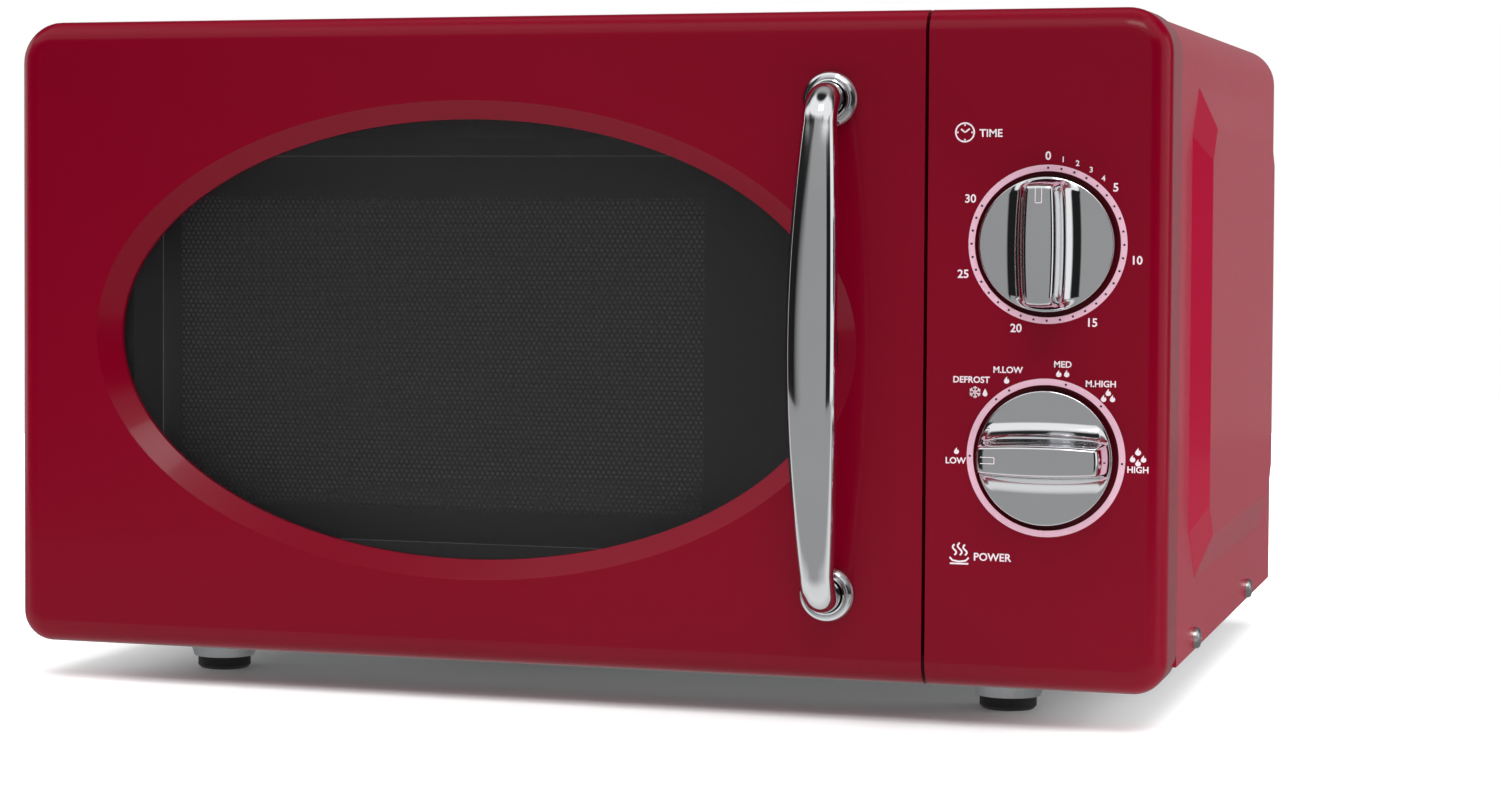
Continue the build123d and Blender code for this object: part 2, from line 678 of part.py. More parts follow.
# ---------------------------------------------------------------- air duct and lamp
duct_y = (guide_y - 40, guide_y - run)
duct_t = 1.5
duct_z = (yoke_z[0] + 2, yoke_z[1] - 1)
lamp_x = bay_left + 17
with BuildPart() as air_duct:
    block((bay_left + fit, yoke_x[1]), duct_y, duct_z)
    duct_in_z = (duct_z[0] + duct_t, duct_z[1] - duct_t)
    duct_in_x = (bay_left - 1, yoke_x[1] - duct_t)
    block(duct_in_x, (duct_y[0] + duct_t, duct_y[1] - duct_t), duct_in_z, Mode.SUBTRACT)
    block((yoke_x[0] + yoke_t, yoke_x[1] - duct_t), (duct_y[1] - 3, duct_y[1] + 1), duct_in_z, Mode.SUBTRACT)
    rod_y(lamp_x, (duct_y[0] - 1, duct_y[0] + 3), lamp_z, 9, Mode.SUBTRACT)
keep(air_duct, "air_duct")

holder_y = (duct_y[0] - 18, duct_y[0])
with BuildPart() as lamp_holder:
    rod_y(lamp_x, holder_y, lamp_z, 12.5)
    rod_y(lamp_x, (holder_y[0] + 6, holder_y[1] + 1), lamp_z, 7.1, Mode.SUBTRACT)
    for x in (lamp_x - 5, lamp_x + 5):
        block((x - 0.4, x + 0.4), (holder_y[0] - 5, holder_y[0]), (lamp_z - 3, lamp_z + 3))
keep(lamp_holder, "lamp_holder")

with BuildPart() as oven_lamp:
    rod_y(lamp_x, (holder_y[0] + 6, duct_y[0] + 4), lamp_z, 7)
    rod_y(lamp_x, (duct_y[0] + 4, duct_y[0] + 28), lamp_z, 10)
    fillet(oven_lamp.faces().sort_by(Axis.Y)[-1].edges(), 8)
keep(oven_lamp, "oven_lamp")

# ================================================================ turntable
with BuildPart() as turntable_motor:
    motor_top = cavity_floor - sheet
    rod_z(cav_x, cav_y, (motor_top - motor_h, motor_top), motor_r)
    for s in (-1, 1):
        ear = sorted((cav_x + s * (motor_r - 4), cav_x + s * (motor_r + 9)))
        block(ear, (cav_y - 5, cav_y + 5), (motor_top - sheet, motor_top))
    block((cav_x - 9, cav_x + 9), (cav_y + motor_r - 4, cav_y + motor_r + 8), (motor_top - 11, motor_top - 3))
    rod_z(cav_x, cav_y, (motor_top - 9, motor_top + 1), spindle_r + fit, Mode.SUBTRACT)
keep(turntable_motor, "turntable_motor")

coupler_z = (roller_z - 3, tray_z - 1.5)
with BuildPart() as turntable_coupler:
    rod_z(cav_x, cav_y, (motor_top - 8, coupler_z[0]), spindle_r)
    rod_z(cav_x, cav_y, coupler_z, hub_r)
    with BuildSketch(facing_up(coupler_z[0])):
        with Locations((cav_x, cav_y)):
            with PolarLocations(lobe_r / 2, 3):
                SlotOverall(lobe_r, 9)
    extrude(amount=coupler_z[1] - coupler_z[0])
keep(turntable_coupler, "turntable_coupler")


def radial_plane(angle, radius):
    """Plane at the rollers' height whose normal points away from the turntable's axis."""
    out = (math.cos(angle), math.sin(angle), 0)
    centre = (cav_x + radius * out[0], front_y + cav_y + radius * out[1], roller_z)
    return Plane(origin=centre, z_dir=out)


with BuildPart() as roller_ring:
    with BuildSketch(facing_up(roller_z - ring_h / 2)):
        with Locations((cav_x, cav_y)):
            Circle(ring_r)
            Circle(ring_r - ring_t, mode=Mode.SUBTRACT)
    extrude(amount=ring_h)
    for k in range(3):
        angle = math.radians(90 + 120 * k)
        reach = (ring_r - 2, ring_r + roller_w + 2.3)
        for radius, start, end in ((axle_r, reach[0], reach[1]), (3.2, reach[1] - 1.2, reach[1])):
            with Locations(radial_plane(angle, (start + end) / 2)):
                Cylinder(radius, end - start)
keep(roller_ring, "roller_ring")

for k in range(3):
    hub = radial_plane(math.radians(90 + 120 * k), ring_r + 0.5 + roller_w / 2)
    with BuildPart() as roller:
        with Locations(hub):
            Cylinder(roller_r, roller_w)
            Cylinder(axle_r + fit, roller_w, mode=Mode.SUBTRACT)
    keep(roller, "roller_" + str(k + 1))

with BuildPart() as glass_tray:
    with BuildSketch(Plane.XZ):
        with BuildLine():
            Polyline(
                (0, 0),
                (tray_r - 14, 0),
                (tray_r, tray_rise - 2),
                (tray_r, tray_rise),
                (tray_r - 3, tray_rise),
                (tray_r - 16, tray_t),
                (0, tray_t),
                close=True,
            )
        make_face()
    revolve(axis=Axis.Z)
    for k in range(3):
        with Locations(Location((0, 0, 0), (0, 0, 60 + 120 * k))):
            with Locations((14.5, 0, -1.5)):
                Box(9, 8, 3)
glass_tray.part = glass_tray.part.moved(Location((cav_x, front_y + cav_y, tray_z)))
keep(glass_tray, "glass_tray")

# ================================================================ control panel
panel_moulding = bezel_shell(panel_left, side_x, cab_y)
with BuildPart() as control_panel:
    add(panel_moulding)
    for z in (timer_z, power_z):
        rod_y(dial_x, (shell, well_depth + shell), z, well_r + shell)
        rod_y(dial_x, (-1, well_depth), z, well_r, Mode.SUBTRACT)
        rod_y(dial_x, (0, well_depth + shell + 1), z, shaft_r + 1, Mode.SUBTRACT)
        for sx, sz in ((-1, 1), (1, -1)):
            rod_y(dial_x + sx * 17, (well_depth + shell - 0.5, unit_y), z + sz * 17, 3.5)
keep(control_panel, "control_panel")

with BuildPart() as timer_unit:
    block((dial_x - 29, dial_x + 29), (unit_y, unit_y + 30), (timer_z - 29, timer_z + 29))
    rod_y(dial_x, (unit_y + 30, unit_y + 38), timer_z - 8, 3)
    rod_y(dial_x, (unit_y - 1, unit_y + 12), timer_z, shaft_r + fit, Mode.SUBTRACT)
    for x in (-18, -6, 6, 18):
        block((dial_x + x - 3, dial_x + x + 3), (unit_y + 12, unit_y + 12.8), (timer_z + 29, timer_z + 35))
keep(timer_unit, "timer_unit")

with BuildPart() as timer_bell:
    with BuildSketch(facing_right(dial_x)):
        with BuildLine():
            bell_y = unit_y + 38
            Polyline((bell_y, timer_z - 8), (bell_y, timer_z + 12), (bell_y - 5, timer_z + 17))
            Polyline((bell_y - 5, timer_z + 17), (bell_y - 4, timer_z + 18), (bell_y + 1, timer_z + 13))
            Polyline((bell_y + 1, timer_z + 13), (bell_y + 1, timer_z - 8), (bell_y, timer_z - 8))
        make_face()
    revolve(axis=Axis((dial_x, front_y, timer_z - 8), (0, 1, 0)))
keep(timer_bell, "timer_bell")

with BuildPart() as power_selector:
    block((dial_x - 23, dial_x + 23), (unit_y, unit_y + 22), (power_z - 23, power_z + 23))
    rod_y(dial_x, (unit_y - 1, unit_y + 12), power_z, shaft_r + fit, Mode.SUBTRACT)
    for x in (-14, 0, 14):
        block((dial_x + x - 3, dial_x + x + 3), (unit_y + 22, unit_y + 30), (power_z - 0.4, power_z + 0.4))
keep(power_selector, "power_selector")


def knob(z, turn):
    """A disc with a bowed grip bar across it; turn is the pointer's angle from the top."""
    with BuildPart() as waist:
        with BuildSketch(Plane.XY.offset(-knob_r)):
            with BuildLine():
                top = knob_face + grip_h
                Line((-grip_base / 2, knob_face), (grip_base / 2, knob_face))
                bend = (grip_top / 2 + 1.6, knob_face + grip_h * 0.35)
                ThreePointArc((grip_base / 2, knob_face), bend, (grip_top / 2, top))
                Line((grip_top / 2, top), (-grip_top / 2, top))
                ThreePointArc((-grip_top / 2, top), (-bend[0], bend[1]), (-grip_base / 2, knob_face))
            make_face()
        extrude(amount=2 * knob_r)
        with BuildSketch(Plane.XZ.offset(-knob_face)):
            Circle(knob_r - 0.4)
        extrude(amount=-grip_h, taper=7, mode=Mode.INTERSECT)
    with BuildPart() as blank:
        with BuildSketch(Plane.XZ.offset(-knob_face)):
            Circle(knob_r)
        extrude(amount=knob_face + well_depth - 2)
        add(waist.part)
        with BuildSketch(Plane.XZ.offset(well_depth - 2)):
            Circle(shaft_r)
        extrude(amount=-10, mode=Mode.SUBTRACT)
        with Locations((0, knob_face + grip_h, knob_r - 7)):
            Box(1.2, 1.2, 6, mode=Mode.SUBTRACT)
    body = mirror(blank.part, about=Plane.XZ)
    body = body.rotate(Axis.Y, turn)
    return body.moved(Location((dial_x, front_y, z)))


timer_blank = knob(timer_z, 0)
power_blank = knob(power_z, -90)
with BuildPart() as timer_knob:
    add(timer_blank)
keep(timer_knob, "timer_knob")
with BuildPart() as power_knob:
    add(power_blank)
keep(power_knob, "power_knob")

# Spindles from inside the knobs to inside the units
spindle_y = (well_depth - 12, unit_y + 10)
with BuildPart() as timer_shaft:
    rod_y(dial_x, spindle_y, timer_z, shaft_r)
keep(timer_shaft, "timer_shaft")
with BuildPart() as power_shaft:
    rod_y(dial_x, spindle_y, power_z, shaft_r)
keep(power_shaft, "power_shaft")

# ================================================================ door interlock
switch_y = (hook_reach + 2, hook_reach + 18)
web_x = (hook_x + hook_w, hook_x + hook_w + 2)
bracket_z = (hook_z[0] - 30, hook_z[1] + 16)
bracket_left = max(bay_left + 1, hook_x - 14)
with BuildPart() as interlock_bracket:
    block((bracket_left, web_x[1]), (y0, y0 + 2), bracket_z)
    block(web_x, (y0, switch_y[1]), bracket_z)
    for z in hook_z:
        block(slot_x, (y0 - 1, y0 + 3), hook_slot(z), Mode.SUBTRACT)
        ledge = (z - hook_drop - 7, z - hook_drop - 0.4)
        block((slot_x[0] - 2, web_x[0]), (y0, hook_reach - 8), ledge)
keep(interlock_bracket, "interlock_bracket")

# Plunger heights: the upper hook presses one switch and the lower hook a stacked pair.
switches = [
    (hook_z[1], hook_z[1] - 14),
    (hook_z[0] + 4, hook_z[0] + 0.2),
    (hook_z[0] - 4, hook_z[0] - 28.2),
]
plunger_r = 1.5
plunger_y = (hook_reach + run, hook_reach + 5)
with BuildPart() as microswitches:
    for plunger_z, low in switches:
        block((web_x[0] - 10, web_x[0]), switch_y, (low, low + 28))
        for z in (low + 4, low + 13, low + 22):
            block((web_x[0] - 6, web_x[0] - 5.2), (switch_y[1], switch_y[1] + 6), (z, z + 4))
    for plunger_z, low in switches:
        rod_y(hook_x, (switch_y[0] - 1, plunger_y[1] + 1), plunger_z, plunger_r + fit, Mode.SUBTRACT)
keep(microswitches, "microswitches")

for k, (plunger_z, low) in enumerate(switches):
    with BuildPart() as plunger:
        rod_y(hook_x, plunger_y, plunger_z, plunger_r)
    keep(plunger, "switch_plunger_" + str(k + 1))

# ================================================================ door
rim_x = (-side_x + rim_left, door_right - rim_right)
rim_z = (front_bottom + rim_bottom, overall_h - rim_top)
oval_x = sum(rim_x) / 2
oval_z = sum(rim_z) / 2
oval_a = (rim_x[1] - rim_x[0]) / 2
oval_b = (rim_z[1] - rim_z[0]) / 2
handle_x = seam_x - handle_from_seam
rose_z = (mid_z - handle_span / 2, mid_z + handle_span / 2)
choke_x = (-side_x + choke_left, door_right - choke_right)
choke_zz = (front_bottom + choke_z, overall_h - choke_z - 2)
post_x = (choke_x[0] + choke_w / 2, choke_x[1] - choke_w / 2)
post_z = (choke_zz[0] + 7, choke_zz[1] - 7)
posts = [(x, z) for x in (*post_x, oval_x) for z in post_z]
arm_low = front_bottom + arm_z
arm_high = overall_h - arm_z - arm_t
latch_x = (hook_x - 4, hook_x + 4)
latch_y = (20.0, 26.0)
latch_z = (hook_z[0] - 14, hook_z[1] + 14)
spring_z = (latch_z[0] - 24, latch_z[0])
guide_z_pair = (mid_z - 25, mid_z + 25)

with BuildPart() as rim_cut:
    with BuildSketch(facing_front(0)):
        with Locations((oval_x, oval_z)):
            Ellipse(oval_a, oval_b)
    with BuildSketch(facing_front(rim_depth)):
        with Locations((oval_x, oval_z)):
            Ellipse(oval_a - rim_w, oval_b - rim_w + 1)
    loft()

door_moulding = bezel_shell(-side_x, door_right, bezel_t)
with BuildPart() as door_frame:
    add(door_moulding)
    with BuildSketch(facing_front(shell)):
        with Locations((oval_x, oval_z)):
            Ellipse(oval_a + shell, oval_b + shell)
    extrude(amount=-(pane_y - shell))
    add(rim_cut.part, mode=Mode.SUBTRACT)
    with BuildSketch(facing_front(-1)):
        with Locations((oval_x, oval_z)):
            Ellipse(oval_a - rim_w, oval_b - rim_w + 1)
    extrude(amount=-(pane_y + 2), mode=Mode.SUBTRACT)
    # Posts for the steel door panel
    for x, z in posts:
        rod_y(x, (shell, choke_y), z, 3.5)
        rod_y(x, (shell + 1, choke_y + 1), z, screw_r, Mode.SUBTRACT)
    # Handle screw holes
    for z in rose_z:
        rod_y(handle_x, (-1, shell + 1), z, hole_r, Mode.SUBTRACT)
    # Latch bar guides and the post that anchors its spring
    for z in guide_z_pair:
        block((latch_x[0] - 3, latch_x[1] + 3), (shell, latch_y[1]), (z - 4, z + 4))
        slide_x = (latch_x[0] - run, latch_x[1] + run)
        block(slide_x, (latch_y[0] - run, latch_y[1] + 1), (z - 5, z + 5), Mode.SUBTRACT)
    block(latch_x, (shell, latch_y[1]), (spring_z[0] - 6, spring_z[0]))
    # Hinge bosses, their bores, and the notches that clear the hinge arms
    boss_x = (-side_x + shell, hinge_x + 4.5)
    boss_y = (hinge_y - 5, bezel_t)
    block(boss_x, boss_y, (arm_low + arm_t + 0.4, arm_low + arm_t + pin_l + 2))
    block(boss_x, boss_y, (arm_high - pin_l - 2, arm_high - 0.4))
    bores = ((arm_low, arm_low + arm_t + pin_l + 0.5), (arm_high - pin_l - 0.5, arm_high))
    for bore in bores:
        rod_z(hinge_x, hinge_y, bore, pin_r + 0.06, Mode.SUBTRACT)
    for z in (arm_low, arm_high):
        notch_x = (-side_x - 1, hinge_x + 5)
        block(notch_x, (hinge_y - 9, bezel_t + 1), (z - 0.6, z + arm_t + 0.4), Mode.SUBTRACT)
    back_left = door_frame.edges().filter_by(Axis.Z).filter_by_position(
        Axis.X, -side_x - 0.01, -side_x + 0.01
    ).filter_by_position(Axis.Y, front_y + bezel_t - 0.01, front_y + bezel_t + 0.01)
    chamfer(back_left, 1.2)
keep(door_frame, "door_frame")

with BuildPart() as door_window:
    with BuildSketch(facing_front(pane_y)):
        with Locations((oval_x, oval_z)):
            Ellipse(oval_a, oval_b)
    extrude(amount=-pane_t)
keep(door_window, "door_window")


def ring_block(x, z, wall, y):
    """A rectangular ring: walls of the given width inside the x and z limits."""
    block((x[0], x[0] + wall), y, z)
    block((x[1] - wall, x[1]), y, z)
    block(x, y, (z[0], z[0] + wall))
    block(x, y, (z[1] - wall, z[1]))


# The steel panel folds into a choke channel around its perforated centre.
screen_x = (choke_x[0] + choke_w, choke_x[1] - choke_w)
screen_z = (choke_zz[0] + choke_w, choke_zz[1] - choke_w)
with BuildPart() as door_panel:
    ring_block(choke_x, choke_zz, choke_w, (choke_y, choke_y + sheet))
    ring_block(choke_x, choke_zz, sheet, (choke_y, choke_y + choke_depth))
    lip_y = (choke_y + choke_depth - sheet, choke_y + choke_depth)
    ring_block(choke_x, choke_zz, 6, lip_y)
    ring_block(screen_x, screen_z, sheet, (choke_y, screen_y + sheet))
    with BuildSketch(facing_front(screen_y)):
        with Locations((sum(screen_x) / 2, sum(screen_z) / 2)):
            Rectangle(screen_x[1] - screen_x[0], screen_z[1] - screen_z[0])
    extrude(amount=-sheet)
    # Slots that divide the choke lip into fingers
    finger = 20.0
    across = int((choke_x[1] - choke_x[0] - 30) / finger)
    upright = int((choke_zz[1] - choke_zz[0] - 30) / finger)
    with BuildSketch(facing_front(lip_y[1] + 1)):
        with Locations((sum(choke_x) / 2, sum(choke_zz) / 2)):
            with GridLocations(finger, choke_zz[1] - choke_zz[0], across, 2):
                Rectangle(3, 14)
            with GridLocations(choke_x[1] - choke_x[0], finger, 2, upright):
                Rectangle(14, 3)
    extrude(amount=8, mode=Mode.SUBTRACT)
    for x, z in posts:
        rod_y(x, (choke_y - 1, choke_y + 2), z, hole_r, Mode.SUBTRACT)
keep(door_panel, "door_panel")

with BuildPart() as door_screws:
    for x, z in posts:
        rod_y(x, (choke_y - 7, choke_y + sheet), z, screw_r - 0.03)
        rod_y(x, (choke_y + sheet, choke_y + sheet + head_t), z, head_r)
keep(door_screws, "door_screws")

with BuildPart() as inner_film:
    with BuildSketch(facing_front(screen_y + sheet)):
        with Locations((sum(screen_x) / 2, sum(screen_z) / 2)):
            Rectangle(screen_x[1] - screen_x[0] - 8, screen_z[1] - screen_z[0] - 8)
    extrude(amount=-0.5)
keep(inner_film, "inner_film")

cover_x = (-side_x + 11.5, door_right - shell - 0.4)
cover_z = (front_bottom + shell + 1.5, overall_h - shell - 1.5)
with BuildPart() as choke_cover:
    block(cover_x, (cover_y, bezel_t), cover_z)
    view_x = (screen_x[0] + 12, screen_x[1] - 12)
    view_z = (screen_z[0] + 10, screen_z[1] - 10)
    block(view_x, (cover_y - 1, bezel_t + 1), view_z, Mode.SUBTRACT)
    for z in hook_z:
        block(slot_x, (cover_y - 1, bezel_t + 1), hook_slot(z), Mode.SUBTRACT)
    fillet(choke_cover.edges().filter_by(Axis.Y), 1.0)
keep(choke_cover, "choke_cover")

with BuildPart() as latch_bar:
    block(latch_x, latch_y, latch_z)
    for z in hook_z:
        hook = (hook_x - hook_w / 2, hook_x + hook_w / 2)
        block(hook, (latch_y[1], hook_reach), (z - 3, z + 3))
        block(hook, (hook_reach - 6, hook_reach), (z - hook_drop, z))
        block(hook, (hook_reach - 2, hook_reach), (z - hook_drop, z + hook_rise))
keep(latch_bar, "latch_bar")

with BuildPart() as latch_spring:
    wire = 0.45
    coil_r = 2.6
    rise = spring_z[1] - spring_z[0] - 2 * wire
    with BuildLine(facing_up(spring_z[0] + wire)):
        with Locations((hook_x, sum(latch_y) / 2)):
            coil = Helix(pitch=2.2, height=rise, radius=coil_r, center=(hook_x, sum(latch_y) / 2, 0))
    with BuildSketch(Plane(origin=coil @ 0, z_dir=coil % 0)):
        Circle(wire)
    sweep(is_frenet=True)
keep(latch_spring, "latch_spring")

# ---------------------------------------------------------------- hinges
leg_x = (hinge_x + 7, hinge_x + 24)
leg_y = (cab_y - sheet, cab_y)
with BuildPart() as hinge_brackets:
    for z, leg_z in ((arm_low, (arm_low, arm_low + 20)), (arm_high, (arm_high - 18, arm_high + arm_t))):
        arm = (z, z + arm_t)
        block((hinge_x - 3.8, hinge_x + 3.8), (hinge_y, cab_y), arm)
        rod_z(hinge_x, hinge_y, arm, 3.8)
        block((hinge_x - 3.8, leg_x[1]), leg_y, arm)
        block(leg_x, leg_y, leg_z)
    # Pins riveted into the arms
    rod_z(hinge_x, hinge_y, (arm_low, arm_low + arm_t + pin_l), pin_r)
    rod_z(hinge_x, hinge_y, (arm_high - pin_l, arm_high + arm_t), pin_r)
keep(hinge_brackets, "hinge_brackets")

# ---------------------------------------------------------------- handle
leg_out = handle_reach * 0.6
with BuildPart() as handle_bar:
    with BuildSketch(facing_right(handle_x - handle_w)):
        with BuildLine():
            low, high = rose_z[0] - handle_end / 2, rose_z[1] + handle_end / 2
            Polyline((-leg_out, low), (0, low), (0, high), (-leg_out, high))
            ThreePointArc((-leg_out, high), (-handle_reach, mid_z), (-leg_out, low))
        make_face()
    extrude(amount=2 * handle_w)
    fillet(handle_bar.edges().filter_by(Axis.X).group_by(Axis.Y)[0], 11)
    with BuildSketch(facing_right(handle_x - handle_w)):
        with BuildLine():
            low, high = rose_z[0] + handle_end / 2, rose_z[1] - handle_end / 2
            inner_out = leg_out - handle_t + 3
            Polyline((-inner_out, low), (1, low), (1, high), (-inner_out, high))
            ThreePointArc((-inner_out, high), (-handle_reach + handle_t, mid_z), (-inner_out, low))
        make_face()
    extrude(amount=2 * handle_w, mode=Mode.SUBTRACT)
    with BuildSketch(facing_front(0)):
        with BuildLine():
            half = handle_end / 2
            lower, upper = rose_z
            ThreePointArc(
                (handle_x - half, upper), (handle_x, upper + half), (handle_x + half, upper)
            )
            ThreePointArc(
                (handle_x + half, upper), (handle_x + handle_w / 2, mid_z), (handle_x + half, lower)
            )
            ThreePointArc(
                (handle_x + half, lower), (handle_x, lower - half), (handle_x - half, lower)
            )
            ThreePointArc(
                (handle_x - half, lower), (handle_x - handle_w / 2, mid_z), (handle_x - half, upper)
            )
        make_face()
    extrude(amount=handle_reach + 1, mode=Mode.INTERSECT)
    # Round ends that stand inside the roses
    above = (handle_x - handle_w, handle_x + handle_w)
    block(above, (-rose_t - 0.5, 1), (rose_z[0] - rose_r, rose_z[1] + rose_r), Mode.SUBTRACT)
    for z in rose_z:
        rod_y(handle_x, (-rose_t - 3, 0), z, handle_end / 2)
        rod_y(handle_x, (-9, 1), z, screw_r, Mode.SUBTRACT)
keep(handle_bar, "handle_bar")

with BuildPart() as handle_roses:
    for z in rose_z:
        rod_y(handle_x, (-rose_t, 0), z, rose_r)
        rod_y(handle_x, (-rose_t - 1, 1), z, rose_bore, Mode.SUBTRACT)
    fillet(handle_roses.faces().group_by(Axis.Y)[0].edges(), 1.2)
keep(handle_roses, "handle_roses")

with BuildPart() as handle_screws:
    for z in rose_z:
        rod_y(handle_x, (-8, shell), z, screw_r - 0.03)
        rod_y(handle_x, (shell, shell + head_t), z, head_r)
keep(handle_screws, "handle_screws")
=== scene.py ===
"""A countertop microwave oven with a red case, an oval door window, a bow handle and two dials."""

import math

import bmesh
import bpy
from mathutils import Matrix, Vector


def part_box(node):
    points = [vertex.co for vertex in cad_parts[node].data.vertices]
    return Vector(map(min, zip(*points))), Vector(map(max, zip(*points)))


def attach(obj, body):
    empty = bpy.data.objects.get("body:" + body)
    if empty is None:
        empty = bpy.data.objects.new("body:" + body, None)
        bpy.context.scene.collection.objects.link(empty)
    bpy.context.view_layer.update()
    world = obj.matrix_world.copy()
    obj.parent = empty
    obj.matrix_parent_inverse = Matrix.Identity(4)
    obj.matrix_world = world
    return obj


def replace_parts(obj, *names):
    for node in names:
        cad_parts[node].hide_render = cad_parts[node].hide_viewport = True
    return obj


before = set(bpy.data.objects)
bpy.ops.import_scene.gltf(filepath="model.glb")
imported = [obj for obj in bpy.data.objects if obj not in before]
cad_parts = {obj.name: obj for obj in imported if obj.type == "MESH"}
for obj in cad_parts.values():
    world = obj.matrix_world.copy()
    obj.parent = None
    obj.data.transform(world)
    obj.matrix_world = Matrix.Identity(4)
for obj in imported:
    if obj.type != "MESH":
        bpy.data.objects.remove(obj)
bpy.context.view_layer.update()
mm = 0.001


# ---------------------------------------------------------------- camera and studio
# A plain pale room: a white floor, and soft boxes overhead, in front and on both sides.
# The room that polished surfaces mirror is grey ahead of the oven, black to both sides
# of that and white at the sides, which gives chrome its bands. The camera stands to the
# right of the oven, a little above its middle, and looks slightly to the left.

front_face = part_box("control_panel")[0].y
camera_at = Vector((0.3807, front_face - 1.1846, 0.1884))
camera_yaw, camera_pitch, camera_roll = (math.radians(v) for v in (18.82, 2.08, 0.21))


def staged(name, data):
    """A new object in the scene."""
    made = bpy.data.objects.new(name, data)
    bpy.context.scene.collection.objects.link(made)
    return made


lens = bpy.data.cameras.new("camera")
lens.sensor_width = 36.0
lens.lens = 80.91
lens.shift_x = 0.1667
lens.shift_y = -0.0537
lens.clip_start = 0.05
lens.clip_end = 50.0
camera = staged("camera", lens)
look = Vector((-math.sin(camera_yaw) * math.cos(camera_pitch),
               math.cos(camera_yaw) * math.cos(camera_pitch),
               -math.sin(camera_pitch)))
side = look.cross(Vector((0, 0, 1))).normalized()
rise = side.cross(look)
right_hand = side * math.cos(camera_roll) + rise * math.sin(camera_roll)
head_up = rise * math.cos(camera_roll) - side * math.sin(camera_roll)
camera.matrix_world = Matrix((
    (right_hand.x, head_up.x, -look.x, camera_at.x),
    (right_hand.y, head_up.y, -look.y, camera_at.y),
    (right_hand.z, head_up.z, -look.z, camera_at.z),
    (0, 0, 0, 1)))
bpy.context.scene.camera = camera
bpy.context.scene.view_settings.view_transform = "Standard"


def soft_box(name, at, aim, width, height, watts, mirrored=False):
    lamp = bpy.data.lights.new(name, "AREA")
    lamp.shape = "RECTANGLE"
    lamp.size, lamp.size_y = width, height
    lamp.energy = watts
    holder = staged(name, lamp)
    holder.location = at
    holder.rotation_euler = (Vector(aim) - Vector(at)).to_track_quat("-Z", "Y").to_euler()
    holder.visible_glossy = mirrored


soft_box("top_box", (0.1, -0.3, 1.9), (0, 0, 0.1), 2.6, 1.5, 44)
soft_box("left_box", (-2.2, -0.5, 0.6), (0, 0, 0.12), 0.9, 1.3, 20)
soft_box("right_box", (2.1, 0.8, 0.7), (0.1, 0, 0.12), 1.1, 1.3, 36)
soft_box("front_box", (0.6, -1.75, 2.1), (0, 0, 0.12), 1.3, 0.6, 15, mirrored=True)


class Wire:
    """A shader socket that takes part in arithmetic."""

    def __init__(self, finish, socket):
        self.finish = finish
        self.socket = socket

    def _sum(self, operation, first, second=None):
        values = {0: first} if second is None else {0: first, 1: second}
        return self.finish.node("ShaderNodeMath", {"operation": operation}, values)

    def __add__(self, other):
        return self._sum("ADD", self, other)

    def __radd__(self, other):
        return self._sum("ADD", other, self)

    def __sub__(self, other):
        return self._sum("SUBTRACT", self, other)

    def __rsub__(self, other):
        return self._sum("SUBTRACT", other, self)

    def __mul__(self, other):
        return self._sum("MULTIPLY", self, other)

    def __truediv__(self, other):
        return self._sum("DIVIDE", self, other)

    def __gt__(self, other):
        return self._sum("GREATER_THAN", self, other)

    def __abs__(self):
        return self._sum("ABSOLUTE", self)


class Tree:
    """A node tree that is built by naming each node, its settings and its inputs."""

    def _put(self, socket, value):
        if isinstance(value, Wire):
            self.tree.links.new(value.socket, socket)
        elif isinstance(value, tuple) and len(value) == 3 and socket.type == "RGBA":
            socket.default_value = (*value, 1.0)
        else:
            socket.default_value = value

    def node(self, kind, settings=None, values=None, out=0):
        made = self.tree.nodes.new(kind)
        for key, value in (settings or {}).items():
            if key == "stops":
                ramp = made.color_ramp.elements
                ramp.remove(ramp[1])
                ramp[0].position, ramp[0].color = value[0][0], (*value[0][1], 1.0)
                for at, shade in value[1:]:
                    ramp.new(at).color = (*shade, 1.0)
            else:
                setattr(made, key, value)
        for key, value in (values or {}).items():
            self._put(made.inputs[key], value)
        return Wire(self, made.outputs[out])

    def eased(self, value, low, high):
        """0 at low and 1 at high, with a smooth step between."""
        return self.node("ShaderNodeMapRange", {"interpolation_type": "SMOOTHSTEP"},
                         {"Value": value, "From Min": low, "From Max": high})


